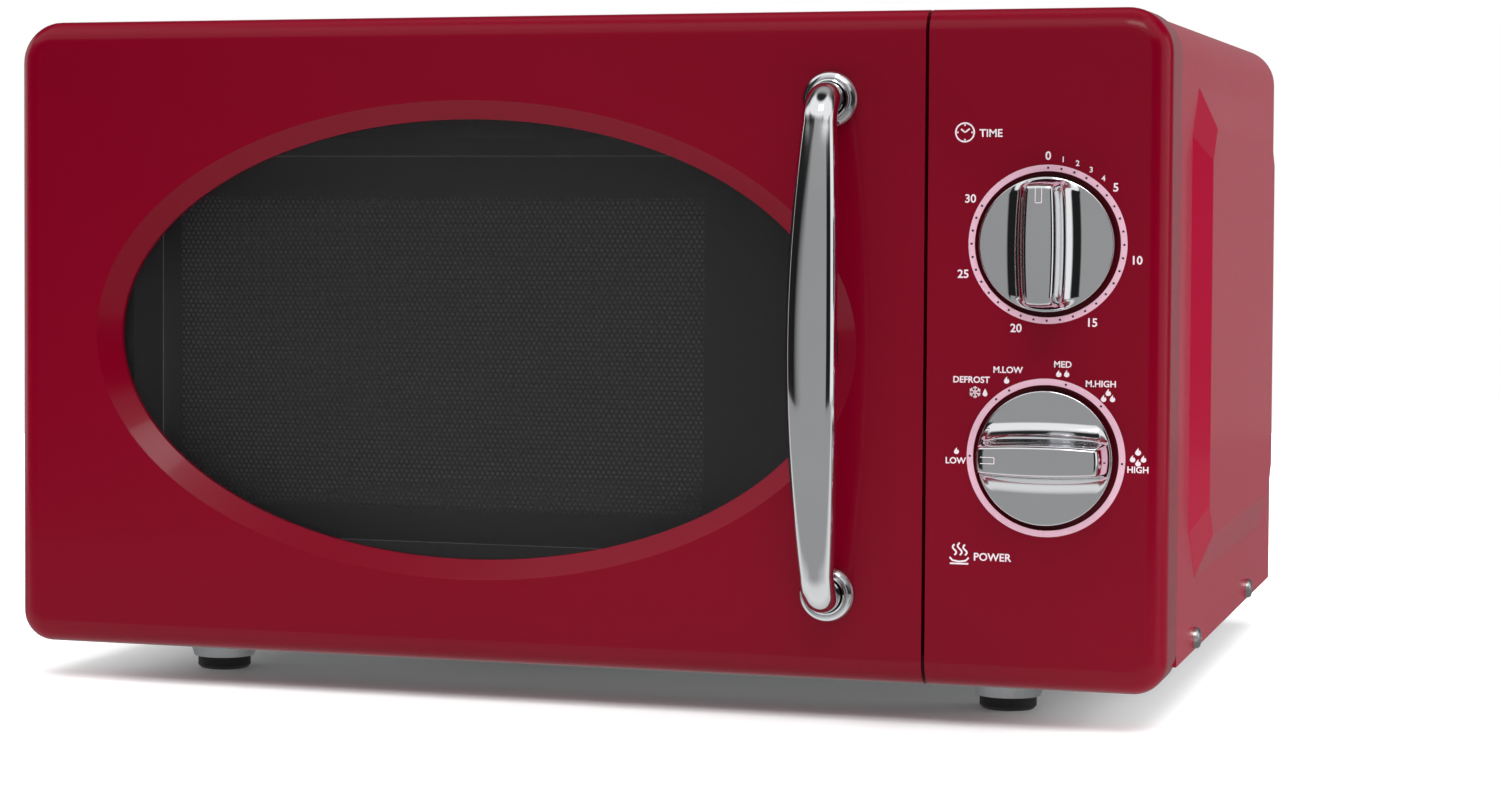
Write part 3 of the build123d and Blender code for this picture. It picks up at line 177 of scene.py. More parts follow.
def pale_room():
    """White where the camera looks; reflections meet a round of grey, black and white screens."""
    room = bpy.data.worlds.new("room")
    bpy.context.scene.world = room
    room.use_nodes = True
    sky = Tree()
    sky.tree = room.node_tree
    toward = sky.node("ShaderNodeTexCoord", out="Generated")
    x, y, z = (sky.node("ShaderNodeSeparateXYZ", values={0: toward}, out=axis) for axis in "XYZ")

    def greys(factor, *stops):
        greyed = [(at, (v, v, v)) for at, v in stops]
        return sky.node("ShaderNodeValToRGB", {"stops": greyed}, {"Fac": factor}, out="Color")

    def by_azimuth(*screens):
        """Screens round the oven as (degrees to the right of straight ahead, brightness)."""
        turn = sky.node("ShaderNodeMath", {"operation": "ARCTAN2"}, {0: x, 1: 0 - y}) / math.tau + 0.5
        return greys(turn, *((degrees / 360 + 0.5, v) for degrees, v in screens))

    around = by_azimuth(
        (-180, 0.28), (-150, 0.28), (-135, 0.06), (-128, 0.06), (-122, 1.0), (-95, 1.0),
        (-88, 0.015), (-28, 0.015), (-20, 0.36), (22, 0.36), (28, 0.015), (66, 0.015),
        (74, 1.0), (118, 1.0), (126, 0.05), (152, 0.05), (164, 0.28), (180, 0.28))
    ahead = greys(z * 0.5 + 0.5,
                  (0.0, 0.3), (0.4, 0.36), (0.69, 0.36), (0.74, 1.0), (0.94, 1.0), (0.97, 0.02))
    behind = greys(z * 0.5 + 0.5, (0.0, 0.25), (0.5, 0.25), (0.58, 0.03), (0.86, 0.03), (0.95, 0.4))
    forward = sky.eased(y, 0.25, -0.05)
    above = sky.node("ShaderNodeMix", {"data_type": "RGBA"}, {0: forward, 6: behind, 7: ahead}, out=2)
    steep = sky.eased(abs(z), 0.34, 0.5)
    mirrored = sky.node("ShaderNodeMix", {"data_type": "RGBA"}, {0: steep, 6: around, 7: above}, out=2)
    lit = sky.node("ShaderNodeBackground", values={"Color": mirrored})
    seen = sky.node("ShaderNodeBackground", values={"Color": (1.0, 1.0, 1.0)})
    camera_ray = sky.node("ShaderNodeLightPath", out="Is Camera Ray")
    either = sky.node("ShaderNodeMixShader", values={0: camera_ray, 1: lit, 2: seen})
    sky.tree.links.new(either.socket, sky.tree.nodes["World Output"].inputs["Surface"])


pale_room()


class Finish(Tree):
    """One material: a Principled shader with what the surface needs in front of it."""

    def __init__(self, name, **fixed):
        self.material = bpy.data.materials.new(name)
        self.material.use_nodes = True
        self.tree = self.material.node_tree
        self.shader = self.tree.nodes["Principled BSDF"]
        self.place = None
        self.feed(**fixed)

    def feed(self, **values):
        for name, value in values.items():
            self._put(self.shader.inputs[name.replace("_", " ")], value)
        return self

    def spot(self):
        if self.place is None:
            self.place = self.node("ShaderNodeTexCoord", out="Object")
        return self.place

    def stretched(self, scale):
        return self.node("ShaderNodeMapping", values={"Vector": self.spot(), "Scale": scale})

    def noise(self, scale, detail=3.0, rough=0.5, at=None):
        values = {"Vector": at or self.spot(), "Scale": scale, "Detail": detail, "Roughness": rough}
        return self.node("ShaderNodeTexNoise", {"noise_dimensions": "3D"}, values)

    def blend(self, factor, first, second):
        return self.node("ShaderNodeMix", {"data_type": "RGBA"}, {0: factor, 6: first, 7: second}, out=2)

    def bump(self, height, depth):
        return self.node("ShaderNodeBump", values={"Height": height, "Distance": depth, "Strength": 1.0})

    def flowers(self, scale):
        """A random grey for each cell of an irregular pattern."""
        values = {"Vector": self.spot(), "Scale": scale}
        cells = self.node("ShaderNodeTexVoronoi", {"feature": "F1"}, values, out="Color")
        return self.node("ShaderNodeSeparateColor", values={0: cells})


def dress(finish, *names):
    for name in names:
        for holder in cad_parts[name].material_slots:
            holder.material = finish.material


def shaded(red, green, blue):
    """Linear colour from one written as 0 to 255."""
    return tuple(((c / 255 + 0.055) / 1.055) ** 2.4 if c > 10 else c / 255 / 12.92
                 for c in (red, green, blue))


def floor_sheet(reach=1.1, around=96):
    """A round sheet of white paper under the oven, with a painted glow that is faint near the oven and
    strong away from it, and a painted grey reflection for polished parts.
    """
    bm = bmesh.new()
    bmesh.ops.create_circle(bm, cap_ends=True, segments=around, radius=reach)
    ground = bpy.data.meshes.new("floor")
    bm.to_mesh(ground)
    bm.free()
    ground.transform(Matrix.Translation((0, 0.35, 0)))
    sheet = staged("floor", ground)
    paper = Finish("floor_paper", Base_Color=(0.95, 0.95, 0.955), Roughness=0.5, Emission_Strength=1.0)
    x, y = (paper.node("ShaderNodeSeparateXYZ", values={0: paper.spot()}, out=axis) for axis in "XY")
    foot_reach = 0.17
    beside = paper.node("ShaderNodeMath", {"operation": "MAXIMUM"},
                        {0: abs(x) - foot_reach, 1: abs(y) - foot_reach})
    # Painted glow: the paper emits light, faint over the oven's footprint and strong beyond it, so the
    # floor comes out white away from the oven.
    painted_glow = paper.eased(beside, -0.03, 0.11)
    paper.feed(Emission_Color=paper.blend(painted_glow, (0.03, 0.03, 0.03), (0.6, 0.6, 0.6)))
    # Painted reflection: glossy rays see an emitted grey ramp instead of the lit paper, bright just in
    # front of the oven's face, grey farther ahead and dark under the oven.
    ahead = paper.node("ShaderNodeMapRange",
                       values={"Value": y, "From Min": front_face + 0.06, "From Max": front_face - 0.14})
    greys = [(at, (v, v, v)) for at, v in ((0.0, 0.22), (0.4, 0.85), (0.6, 0.8), (0.9, 0.36))]
    shade = paper.node("ShaderNodeValToRGB", {"stops": greys}, {"Fac": ahead}, out="Color")
    painted_floor_reflection = paper.node("ShaderNodeEmission", values={"Color": shade})
    mirrored = paper.node("ShaderNodeLightPath", out="Is Glossy Ray")
    lit = Wire(paper, paper.shader.outputs[0])
    either = paper.node("ShaderNodeMixShader", values={0: mirrored, 1: lit, 2: painted_floor_reflection})
    paper.tree.links.new(either.socket, paper.tree.nodes["Material Output"].inputs["Surface"])
    ground.materials.append(paper.material)


floor_sheet()


# ---------------------------------------------------------------- pressed and galvanised steel
# The base plate and the rear panel are cut from galvanised sheet, with its faint zinc
# flowers. Brackets, pins and cans are plated steel with fine rolling marks.

def galvanised():
    steel = Finish("galvanised", Metallic=0.9)
    shade = steel.flowers(110.0)
    dust = steel.noise(900.0, 4.0)
    tone = shade * 0.35 + dust * 0.3
    steel.feed(Base_Color=steel.blend(tone, (0.46, 0.47, 0.48), (0.66, 0.67, 0.68)),
               Roughness=0.3 + shade * 0.14 + dust * 0.08,
               Normal=steel.bump(dust, 0.02 * mm))
    return steel


def plated():
    steel = Finish("plated_steel", Metallic=1.0)
    lines = steel.noise(60.0, 5.0, 0.6, steel.stretched((1.0, 1.0, 14.0)))
    steel.feed(Base_Color=steel.blend(lines, (0.5, 0.5, 0.51), (0.68, 0.68, 0.67)),
               Roughness=0.24 + lines * 0.2, Normal=steel.bump(lines, 0.01 * mm))
    return steel


sheet_steel, bright_steel = galvanised(), plated()
dress(sheet_steel, "base_plate", "rear_panel")
dress(bright_steel, "waveguide", "hinge_brackets", "timer_shaft", "power_shaft", "magnetron_yoke",
      "magnetron_filter_box", "capacitor_clamp", "turntable_motor", "latch_spring",
      "handle_screws", "door_screws")


# ---------------------------------------------------------------- lacquer
# The cabinet is painted steel and the front mouldings are lacquered plastic. Both have
# a deep cherry red under a clear gloss, with the slight waviness of sprayed paint.

def lacquer(name, base, gloss, waves, ripple):
    paint = Finish(name, Specular_IOR_Level=0.14, Coat_IOR=1.3, Coat_Roughness=0.05)
    cloud = paint.noise(6.0, 2.0)
    peel = paint.noise(waves, 1.0)
    deep = tuple(c * 0.88 for c in base)
    paint.feed(Base_Color=paint.blend(cloud, deep, base),
               Roughness=gloss + peel * 0.03,
               Coat_Weight=0.15 + cloud * 0.1,
               Normal=paint.bump(peel, ripple))
    return paint


moulding_red = lacquer("red_moulding", shaded(113, 0, 26), 0.2, 90.0, 0.001 * mm)
# Painted light: the cabinet's red is set lighter than the mouldings' red, so that the side lit by the
# right-hand soft box comes out lighter.
cabinet_red = lacquer("red_cabinet", shaded(141, 2, 40), 0.24, 14.0, 0.004 * mm)
dress(cabinet_red, "outer_cabinet")
dress(moulding_red, "control_panel", "door_frame")


# ---------------------------------------------------------------- plastics and rubber
# The electrical parts, the turntable's ring and rollers and the choke cover are moulded
# in black or white plastic with a fine grain. The four feet are black rubber.

def moulded(name, base, rough, grain):
    plastic = Finish(name, Specular_IOR_Level=0.45)
    fine = plastic.noise(1400.0, 3.0)
    cloud = plastic.noise(14.0, 2.0)
    light = tuple(min(1.0, c * 1.12 + 0.004) for c in base)
    plastic.feed(Base_Color=plastic.blend(cloud, base, light), Roughness=rough + fine * 0.12,
                 Normal=plastic.bump(fine, grain))
    return plastic


black_plastic = moulded("black_plastic", (0.018, 0.018, 0.019), 0.4, 0.02 * mm)
white_plastic = moulded("white_plastic", (0.74, 0.74, 0.71), 0.42, 0.015 * mm)
rubber = moulded("black_rubber", (0.012, 0.012, 0.012), 0.62, 0.05 * mm)
dress(black_plastic, "cable_gland", "hv_diode", "thermal_cutouts", "microswitches", "choke_cover")
dress(white_plastic, "timer_unit", "power_selector", "lamp_holder", "fan_shroud", "fan_blade",
      "air_duct", "interlock_bracket", "turntable_coupler", "roller_ring", "latch_bar",
      *(f"{piece}_{k}" for piece in ("switch_plunger", "roller") for k in (1, 2, 3)))
dress(rubber, "feet")


# ---------------------------------------------------------------- chrome
# The handle, its roses and the knobs have bright chrome plating, with only faint smears
# where they are wiped.

def plated_chrome():
    chrome = Finish("bright_chrome", Metallic=1.0)
    smear = chrome.noise(35.0, 3.0)
    chrome.feed(Base_Color=chrome.blend(smear, (0.72, 0.73, 0.75), (0.8, 0.81, 0.82)),
                Roughness=0.05 + smear * 0.05)
    return chrome


chrome = plated_chrome()
dress(chrome, "handle_bar", "handle_roses", "timer_knob", "power_knob", "cabinet_screws", "timer_bell")


# ---------------------------------------------------------------- cavity and inner parts
# The oven's inside is grey speckled enamel with a mica sheet over the wave outlet. Round
# it sit the transformer of laminated iron and copper, the magnetron with its aluminium
# fins and ferrite rings, and the filter board.

def enamel():
    coat = Finish("cavity_enamel", Specular_IOR_Level=0.5)
    speck = coat.noise(700.0, 2.0)
    cloud = coat.noise(9.0)
    dark = (speck > 0.62) * 0.5 + cloud * 0.2
    coat.feed(Base_Color=coat.blend(dark, (0.56, 0.57, 0.56), (0.36, 0.37, 0.37)),
              Roughness=0.3 + cloud * 0.1, Normal=coat.bump(speck, 0.02 * mm))
    return coat


def mica():
    sheet = Finish("mica", Specular_IOR_Level=0.5)
    grey = sheet.flowers(260.0)
    sheet.feed(Base_Color=sheet.blend(grey, (0.36, 0.31, 0.24), (0.55, 0.5, 0.42)),
               Roughness=0.3 + grey * 0.3, Normal=sheet.bump(grey, 0.03 * mm))
    return sheet


def iron(name, dark, light):
    metal = Finish(name, Metallic=0.6)
    plates = metal.noise(30.0, 2.0, 0.5, metal.stretched((1.0, 60.0, 1.0)))
    metal.feed(Base_Color=metal.blend(plates, dark, light), Roughness=0.4 + plates * 0.2,
               Normal=metal.bump(plates, 0.1 * mm))
    return metal


def windings():
    copper = Finish("copper_windings", Metallic=0.8)
    turns = copper.node("ShaderNodeTexWave", {"wave_type": "BANDS", "bands_direction": "Z"},
                        {"Vector": copper.spot(), "Scale": 160.0, "Distortion": 0.4}, out="Fac")
    copper.feed(Base_Color=copper.blend(turns, (0.2, 0.07, 0.03), (0.52, 0.24, 0.11)),
                Roughness=0.3 + turns * 0.15, Normal=copper.bump(turns, 0.3 * mm))
    return copper


def cast_aluminium():
    metal = Finish("aluminium", Metallic=1.0)
    grain = metal.noise(400.0, 4.0)
    metal.feed(Base_Color=metal.blend(grain, (0.62, 0.63, 0.64), (0.78, 0.79, 0.8)),
               Roughness=0.3 + grain * 0.15, Normal=metal.bump(grain, 0.02 * mm))
    return metal


def board():
    card = Finish("circuit_board", Specular_IOR_Level=0.5)
    weave = card.noise(500.0, 2.0)
    card.feed(Base_Color=card.blend(weave, (0.05, 0.16, 0.05), (0.08, 0.24, 0.08)),
              Roughness=0.3 + weave * 0.2, Normal=card.bump(weave, 0.02 * mm))
    return card


dress(enamel(), "oven_cavity", "front_plate")
dress(mica(), "waveguide_cover")
dress(iron("laminated_iron", (0.1, 0.1, 0.1), (0.24, 0.23, 0.22)), "transformer_core", "fan_motor")
dress(iron("ferrite", (0.03, 0.03, 0.03), (0.07, 0.07, 0.07)), "magnetron_magnets")
dress(windings(), "transformer_coils")
dress(cast_aluminium(), "magnetron_core", "hv_capacitor")
dress(board(), "line_filter_board")


# ---------------------------------------------------------------- glass
# The door has a smoked pane in front of its screen and a clear film behind it. The tray
# is pale green pressed glass, and the lamp and fuse are small glass bulbs.

def glazing(name, tint, opacity, rough):
    glass = Finish(name, Specular_IOR_Level=0.6)
    wipe = glass.noise(20.0, 3.0)
    glass.feed(Base_Color=glass.blend(wipe, tint, tuple(min(1.0, c * 1.1) for c in tint)),
               Roughness=rough + wipe * 0.03, Alpha=opacity + wipe * 0.03)
    return glass


dress(glazing("smoked_pane", (0.012, 0.012, 0.013), 0.2, 0.03), "door_window")
dress(glazing("clear_film", (0.7, 0.71, 0.71), 0.28, 0.2), "inner_film")
dress(glazing("tray_glass", (0.75, 0.82, 0.8), 0.32, 0.04), "glass_tray")
dress(glazing("lamp_glass", (0.9, 0.88, 0.8), 0.5, 0.08), "oven_lamp", "mains_fuse")


def screen_paint():
    paint = Finish("screen_paint", Specular_IOR_Level=0.4)
    fine = paint.noise(900.0)
    paint.feed(Base_Color=paint.blend(fine, (0.018, 0.018, 0.019), (0.028, 0.028, 0.029)),
               Roughness=0.4 + fine * 0.1, Normal=paint.bump(fine, 0.01 * mm))
    return paint


dress(screen_paint(), "door_panel")

# ---------------------------------------------------------------- door screen
# The steel door panel is punched with fine staggered holes in front of the cavity. Its
# black middle is a separate insert here, set in a window cut in the folded panel, and a
# moulded surround slopes from the panel's front down to it.

def place(name, mesh, finish, body):
    """A finished mesh as a piece on a body."""
    piece = staged(name, mesh)
    if finish is not None:
        mesh.materials.clear()
        mesh.materials.append(finish.material)
    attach(piece, body)
    return piece


def from_bmesh(name, bm, smooth_angle=None):
    mesh = bpy.data.meshes.new(name)
    bm.to_mesh(mesh)
    bm.free()
    if smooth_angle is not None:
        mesh.shade_smooth()
        mesh.set_sharp_from_angle(angle=math.radians(smooth_angle))
    return mesh


def ring_of(bm, radius, around, z=0.0, start=0.0):
    """Points on a circle in the XY plane."""
    angles = [math.tau * (k + start) / around for k in range(around)]
    return [bm.verts.new((radius * math.cos(a), radius * math.sin(a), z)) for a in angles]


def bridge(bm, first, second):
    """Faces between two closed rings of as many points."""
    for k in range(len(first)):
        n = (k + 1) % len(first)
        bm.faces.new((first[k], first[n], second[n], second[k]))


class Pattern(Tree):
    """A geometry tree whose sizes are named inputs."""

    def __init__(self, name, **inputs):
        self.tree = bpy.data.node_groups.new(name, "GeometryNodeTree")
        self.tree.interface.new_socket("Geometry", in_out="OUTPUT", socket_type="NodeSocketGeometry")
        self.name, self.values = name, inputs
        kinds = {int: "NodeSocketInt", float: "NodeSocketFloat"}
        for key, value in inputs.items():
            self.tree.interface.new_socket(key, in_out="INPUT", socket_type=kinds[type(value)])
        self.entry = self.tree.nodes.new("NodeGroupInput")
        self.exit = self.tree.nodes.new("NodeGroupOutput")

    def size(self, key):
        return Wire(self, self.entry.outputs[key])

    def template(self, mesh):
        """The shape that is repeated, as geometry inside the tree."""
        self.model = bpy.data.objects.new(self.name + "_one", mesh)
        return self.node("GeometryNodeObjectInfo", values={"Object": self.model}, out="Geometry")

    def grow(self, geometry, finish):
        real = self.node("GeometryNodeRealizeInstances", values={"Geometry": geometry}, out="Geometry")
        values = {"Geometry": real, "Material": finish.material}
        painted = self.node("GeometryNodeSetMaterial", values=values)
        self.tree.links.new(painted.socket, self.exit.inputs[0])
        holder = staged(self.name, bpy.data.meshes.new(self.name))
        modifier = holder.modifiers.new("pattern", "NODES")
        modifier.node_group = self.tree
        for item in self.tree.interface.items_tree:
            if item.in_out == "INPUT":
                modifier[item.identifier] = self.values[item.name]
        graph = bpy.context.evaluated_depsgraph_get()
        mesh = bpy.data.meshes.new_from_object(holder.evaluated_get(graph))
        bpy.data.objects.remove(holder)
        bpy.data.objects.remove(self.model)
        mesh.name = self.name
        return mesh


hole_pitch = 2.05 * mm
hole_r = 0.72 * mm
screen_low, screen_high = Vector((-0.1635, 0, 0.0693)), Vector((0.0515, 0, 0.1913))
slope_low, slope_high = Vector((-0.171, 0, 0.0565)), Vector((0.0862, 0, 0.2040))
screen_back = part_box("door_panel")[1].y
screen_front = screen_back - 1.0 * mm
row_pitch = hole_pitch * math.sqrt(3) / 2
upright = Matrix.Rotation(math.pi / 2, 4, "X")
columns = int((screen_high.x - screen_low.x) / hole_pitch)
rows = int((screen_high.z - screen_low.z) / row_pitch / 2) * 2


def one_hole(thickness=0.5 * mm):
    """A six-sided tile of sheet with a hole through it, in the XY plane, with its back at z = 0."""
    bm = bmesh.new()
    low_out, low_in, high_out, high_in = (
        ring_of(bm, radius, 6, z, start=0.5)
        for z in (0.0, thickness) for radius in (hole_pitch / math.sqrt(3), hole_r))
    bridge(bm, high_out, high_in)
    bridge(bm, low_in, low_out)
    bridge(bm, high_in, low_in)
    return from_bmesh("screen_hole", bm)


def punched(name, first_row, row_count, sunk=0.4 * mm):
    pattern = Pattern(name, Columns=columns, Rows=row_count, Pitch=hole_pitch, RowPitch=row_pitch)
    across, up = pattern.size("Columns"), pattern.size("Rows")
    grid = pattern.node("GeometryNodeMeshGrid", values={
        "Size X": (across - 1) * pattern.size("Pitch"), "Size Y": (up - 1) * pattern.size("RowPitch"),
        "Vertices X": across, "Vertices Y": up})
    index = pattern.node("GeometryNodeInputIndex")
    row = pattern.node("ShaderNodeMath", {"operation": "MODULO"}, {0: index, 1: up})
    odd = pattern.node("ShaderNodeMath", {"operation": "MODULO"}, {0: row, 1: 2.0})
    shift = pattern.node("ShaderNodeCombineXYZ", values={"X": odd * pattern.size("Pitch") * 0.5})
    staggered = pattern.node("GeometryNodeSetPosition", values={"Geometry": grid, "Offset": shift})
    tiles = pattern.node("GeometryNodeInstanceOnPoints", values={
        "Points": staggered, "Instance": pattern.template(one_hole())})
    mesh = pattern.grow(tiles, screen_black)
    centre_x = screen_low.x + (columns - 1) * hole_pitch / 2
    centre_z = screen_low.z + (first_row + (row_count - 1) / 2) * row_pitch
    mesh.transform(Matrix.Translation((centre_x, screen_back - sunk, centre_z)) @ upright)
    place(name, mesh, None, "door")


screen_black = screen_paint()
half_rows = rows // 4 * 2
punched("screen_lower_holes", 0, half_rows)
punched("screen_upper_holes", half_rows, rows - half_rows)


def panel_with_window():
    """The folded door panel with its middle cut out for the punched insert."""
    bm = bmesh.new()
    bm.from_mesh(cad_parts["door_panel"].data)
    bmesh.ops.remove_doubles(bm, verts=bm.verts, dist=1e-6)
    shell = staged("door_panel_cut", from_bmesh("door_panel_cut", bm))
    bm = bmesh.new()
    bmesh.ops.create_cube(bm, size=1.0)
    low_x, high_x = screen_low.x, screen_low.x + (columns - 0.5) * hole_pitch
    low_z, high_z = screen_low.z, screen_low.z + (rows - 1) * row_pitch
    size = Vector((high_x - low_x, 20 * mm, high_z - low_z))
    middle = Vector(((low_x + high_x) / 2, screen_back, (low_z + high_z) / 2))
    set_in = Matrix.Translation(middle) @ Matrix.Diagonal((*size, 1.0))
    bmesh.ops.transform(bm, matrix=set_in, verts=bm.verts)
    cutter = staged("cutter", from_bmesh("cutter", bm))
    cut = shell.modifiers.new("cut", "BOOLEAN")
    cut.object, cut.operation, cut.solver = cutter, "DIFFERENCE", "EXACT"
    mesh = bpy.data.meshes.new_from_object(shell.evaluated_get(bpy.context.evaluated_depsgraph_get()))
    bpy.data.objects.remove(shell)
    bpy.data.objects.remove(cutter)
    mesh.shade_smooth()
    mesh.set_sharp_from_angle(angle=math.radians(30))
    piece = place("folded_door_panel", mesh, screen_black, "door")
    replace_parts(piece, "door_panel")


panel_with_window()


def sloped_surround():
    """Four slopes and a flat border between the pane and the panel."""
    deep, shallow = screen_front - 0.1 * mm, front_face + 12.6 * mm
    rects = [
        (slope_low, slope_high, deep),
        (Vector((-0.178, 0, 0.0500)), Vector((0.0900, 0, 0.2106)), shallow),
        (Vector((-0.190, 0, 0.0420)), Vector((0.0915, 0, 0.2250)), shallow),
    ]
    bm = bmesh.new()
    rings = []
    for low, high, y in rects:
        corners = ((low.x, low.z), (high.x, low.z), (high.x, high.z), (low.x, high.z))
        rings.append([bm.verts.new((x, y, z)) for x, z in corners])
    for inner, outer in zip(rings, rings[1:]):
        bridge(bm, outer, inner)
    bmesh.ops.recalc_face_normals(bm, faces=bm.faces)
    if bm.faces[0].normal.y > 0:
        bmesh.ops.reverse_faces(bm, faces=bm.faces)
    bmesh.ops.solidify(bm, geom=bm.faces[:], thickness=0.4 * mm)
    return from_bmesh("screen_surround", bm)


place("screen_surround", sloped_surround(), screen_black, "door")


def rubbed_edge():
    """A fine raised line where the slopes meet the panel, coloured mid grey as a painted highlight."""
    width, rise = 0.35 * mm, 0.25 * mm
    bm = bmesh.new()
    rings = []
    for grow, y in ((0.0, 0.0), (0.0, rise), (width, rise), (width, 0.0)):
        near = screen_front - 0.1 * mm - y
        low, high = slope_low - Vector((grow, 0, grow)), slope_high + Vector((grow, 0, grow))
        rings.append([bm.verts.new((px, near, pz)) for px, pz in (
            (low.x, low.z), (high.x, low.z), (high.x, high.z), (low.x, high.z))])
    for inner, outer in zip(rings, rings[1:] + rings[:1]):
        bridge(bm, outer, inner)
    bmesh.ops.recalc_face_normals(bm, faces=bm.faces)
    return from_bmesh("surround_edge", bm)


# Painted highlight: the line is a mottled mid grey, so it shows light against the black screen like a
# lit step.
highlight_paint = Finish("rubbed_edge", Specular_IOR_Level=0.6)
highlight_noise = highlight_paint.noise(300.0, 2.0)
highlight_paint.feed(Base_Color=highlight_paint.blend(highlight_noise, (0.1, 0.1, 0.1), (0.5, 0.5, 0.5)),
                Roughness=0.3 + highlight_noise * 0.2)
place("surround_edge", rubbed_edge(), highlight_paint, "door")


# ---------------------------------------------------------------- bow handle
# A hollow die-cast bow with a chrome finish. Its front is almost flat, with a rounded
# edge on each side, and it is widest in the middle. Each end turns back into a rose.

bar_low, bar_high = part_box("handle_bar")
rose_low, rose_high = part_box("handle_roses")
handle_x = (bar_low.x + bar_high.x) / 2
handle_mid = (bar_low.z + bar_high.z) / 2
rose_r = (rose_high.x - rose_low.x) / 2
end_z = (rose_high.z - rose_low.z) / 2 - rose_r
end_r = 6.2 * mm
reach = front_face - bar_low.y


def smoothed(value):
    value = max(0.0, min(1.0, value))
    return value * value * (3 - 2 * value)


def bow_profile(steps=72):
    """Points along the bar from the lower rose to the upper, as (out, z, width, thickness)."""
    leg, corner, axis_out = 7.0 * mm, 11.0 * mm, reach - 5.2 * mm
    round_d, widest, flat_d, thinning = 2 * end_r, 18.4 * mm, 10.2 * mm, 1.0 * mm
    points = [(leg * k / 6, -end_z, round_d, round_d) for k in range(7)]
    tilt = math.atan((axis_out - leg - corner) * math.pi / 2 / (end_z - corner))
    for k in range(1, 13):
        a = (math.pi / 2 - tilt) * k / 12
        points.append((leg + corner * 0.95 * math.sin(a), -end_z + corner * (1 - math.cos(a)),
                       round_d, round_d + (flat_d - round_d) * k / 12))
    out_start, z_start = points[-1][0], points[-1][1]
    for k in range(1, steps // 2 + 1):
        u = k / (steps // 2)
        swell = math.sin(u * math.pi / 2)
        points.append((out_start + (axis_out - out_start) * swell, z_start * (1 - u),
                       round_d + (widest - round_d) * swell ** 0.8, flat_d - thinning * u))
    return points + [(o, -z, w, t) for o, z, w, t in reversed(points[:-1])]


def bar_section(width, thick, flat, edge=4.1 * mm, crown=0.25 * mm):
    """A section: round where flat is 0, and a flat-fronted strip with elliptical edges where it is 1."""
    core, front = width / 2 - edge, thick / 2 - crown
    strip = []
    for k in range(10):
        f = 1 - k / 5
        strip.append((core * f, thick / 2 - crown * f * f, 90 - 50 * f))
    for k in range(12):
        t = math.pi * k / 12
        strip.append((-core - edge * math.sin(t), front * math.cos(t), 140 + 80 * k / 12))
    for k in range(10):
        f = k / 5 - 1
        strip.append((core * f, -front, 270 + 50 * f))
    for k in range(12):
        t = math.pi * (1 - k / 12)
        strip.append((core + edge * math.sin(t), front * math.cos(t), 320 + 80 * k / 12))
    ring = []
    for x, y, degrees in strip:
        a = math.radians(degrees)
        ring.append((x * flat + (1 - flat) * math.cos(a) * width / 2,
                     y * flat + (1 - flat) * math.sin(a) * thick / 2))
    return ring


def bow_handle():
    bm = bmesh.new()
    path, sideways = bow_profile(), Vector((1, 0, 0))
    rings = []
    for i, (out, z, width, thick) in enumerate(path):
        before, after = path[max(i - 1, 0)], path[min(i + 1, len(path) - 1)]
        along = Vector((0, -(after[0] - before[0]), after[1] - before[1])).normalized()
        outward = sideways.cross(along)
        flat = smoothed((min(i, len(path) - 1 - i) - 8) / 14)
        middle = Vector((handle_x, front_face - out, handle_mid + z))
        rings.append([bm.verts.new(middle + sideways * x + outward * y)
                      for x, y in bar_section(width, thick, flat)])
    for first, second in zip(rings, rings[1:]):
        bridge(bm, first, second)
    bm.faces.new(list(reversed(rings[0])))
    bm.faces.new(rings[-1])
    bmesh.ops.recalc_face_normals(bm, faces=bm.faces)
    return from_bmesh("handle_bow", bm, 40)


handle_bow = place("handle_bow", bow_handle(), chrome, "door")
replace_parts(handle_bow, "handle_bar")


def spun(name, profile, at, axis, around=64, smooth=28):
    """A solid of revolution: profile is (radius, distance along the axis) from one end to the other."""
    bm = bmesh.new()
    ring = [bm.verts.new((max(r, 1e-5), 0, d)) for r, d in profile]
    for first, second in zip(ring, ring[1:]):
        bm.edges.new((first, second))
    bmesh.ops.spin(bm, geom=bm.verts[:] + bm.edges[:], cent=(0, 0, 0), axis=(0, 0, 1), dvec=(0, 0, 0),
                   angle=math.tau, steps=around)
    bmesh.ops.remove_doubles(bm, verts=bm.verts, dist=2e-6)
    open_edges = [e for e in bm.edges if e.is_boundary]
    if open_edges:
        bmesh.ops.holes_fill(bm, edges=open_edges)
    bmesh.ops.recalc_face_normals(bm, faces=bm.faces)
    turn = Vector((0, 0, 1)).rotation_difference(Vector(axis)).to_matrix().to_4x4()
    bmesh.ops.transform(bm, matrix=Matrix.Translation(at) @ turn, verts=bm.verts)
    return from_bmesh(name, bm, smooth)


def joined(name, meshes):
    bm = bmesh.new()
    for mesh in meshes:
        bm.from_mesh(mesh)
        bpy.data.meshes.remove(mesh)
    whole = bpy.data.meshes.new(name)
    bm.to_mesh(whole)
    bm.free()
    return whole


def stepped_roses():
    edge, inner = 10.0 * mm, 6.5 * mm
    profile = [(edge, 0), (edge, 1.6 * mm), (edge - 0.5 * mm, 2.4 * mm), (edge - 1.3 * mm, 2.7 * mm),
               (edge - 1.9 * mm, 2.3 * mm), (edge - 2.1 * mm, 1.8 * mm), (edge - 2.4 * mm, 1.8 * mm),
               (edge - 2.5 * mm, 3.6 * mm), (edge - 2.8 * mm, 4.2 * mm), (inner + 0.2 * mm, 4.4 * mm),
               (inner, 4.1 * mm), (inner, 0), (edge, 0)]
    rings = [spun("rose", profile, (handle_x, front_face, handle_mid + s * end_z), (0, -1, 0))
             for s in (-1, 1)]
    return joined("handle_rings", rings)


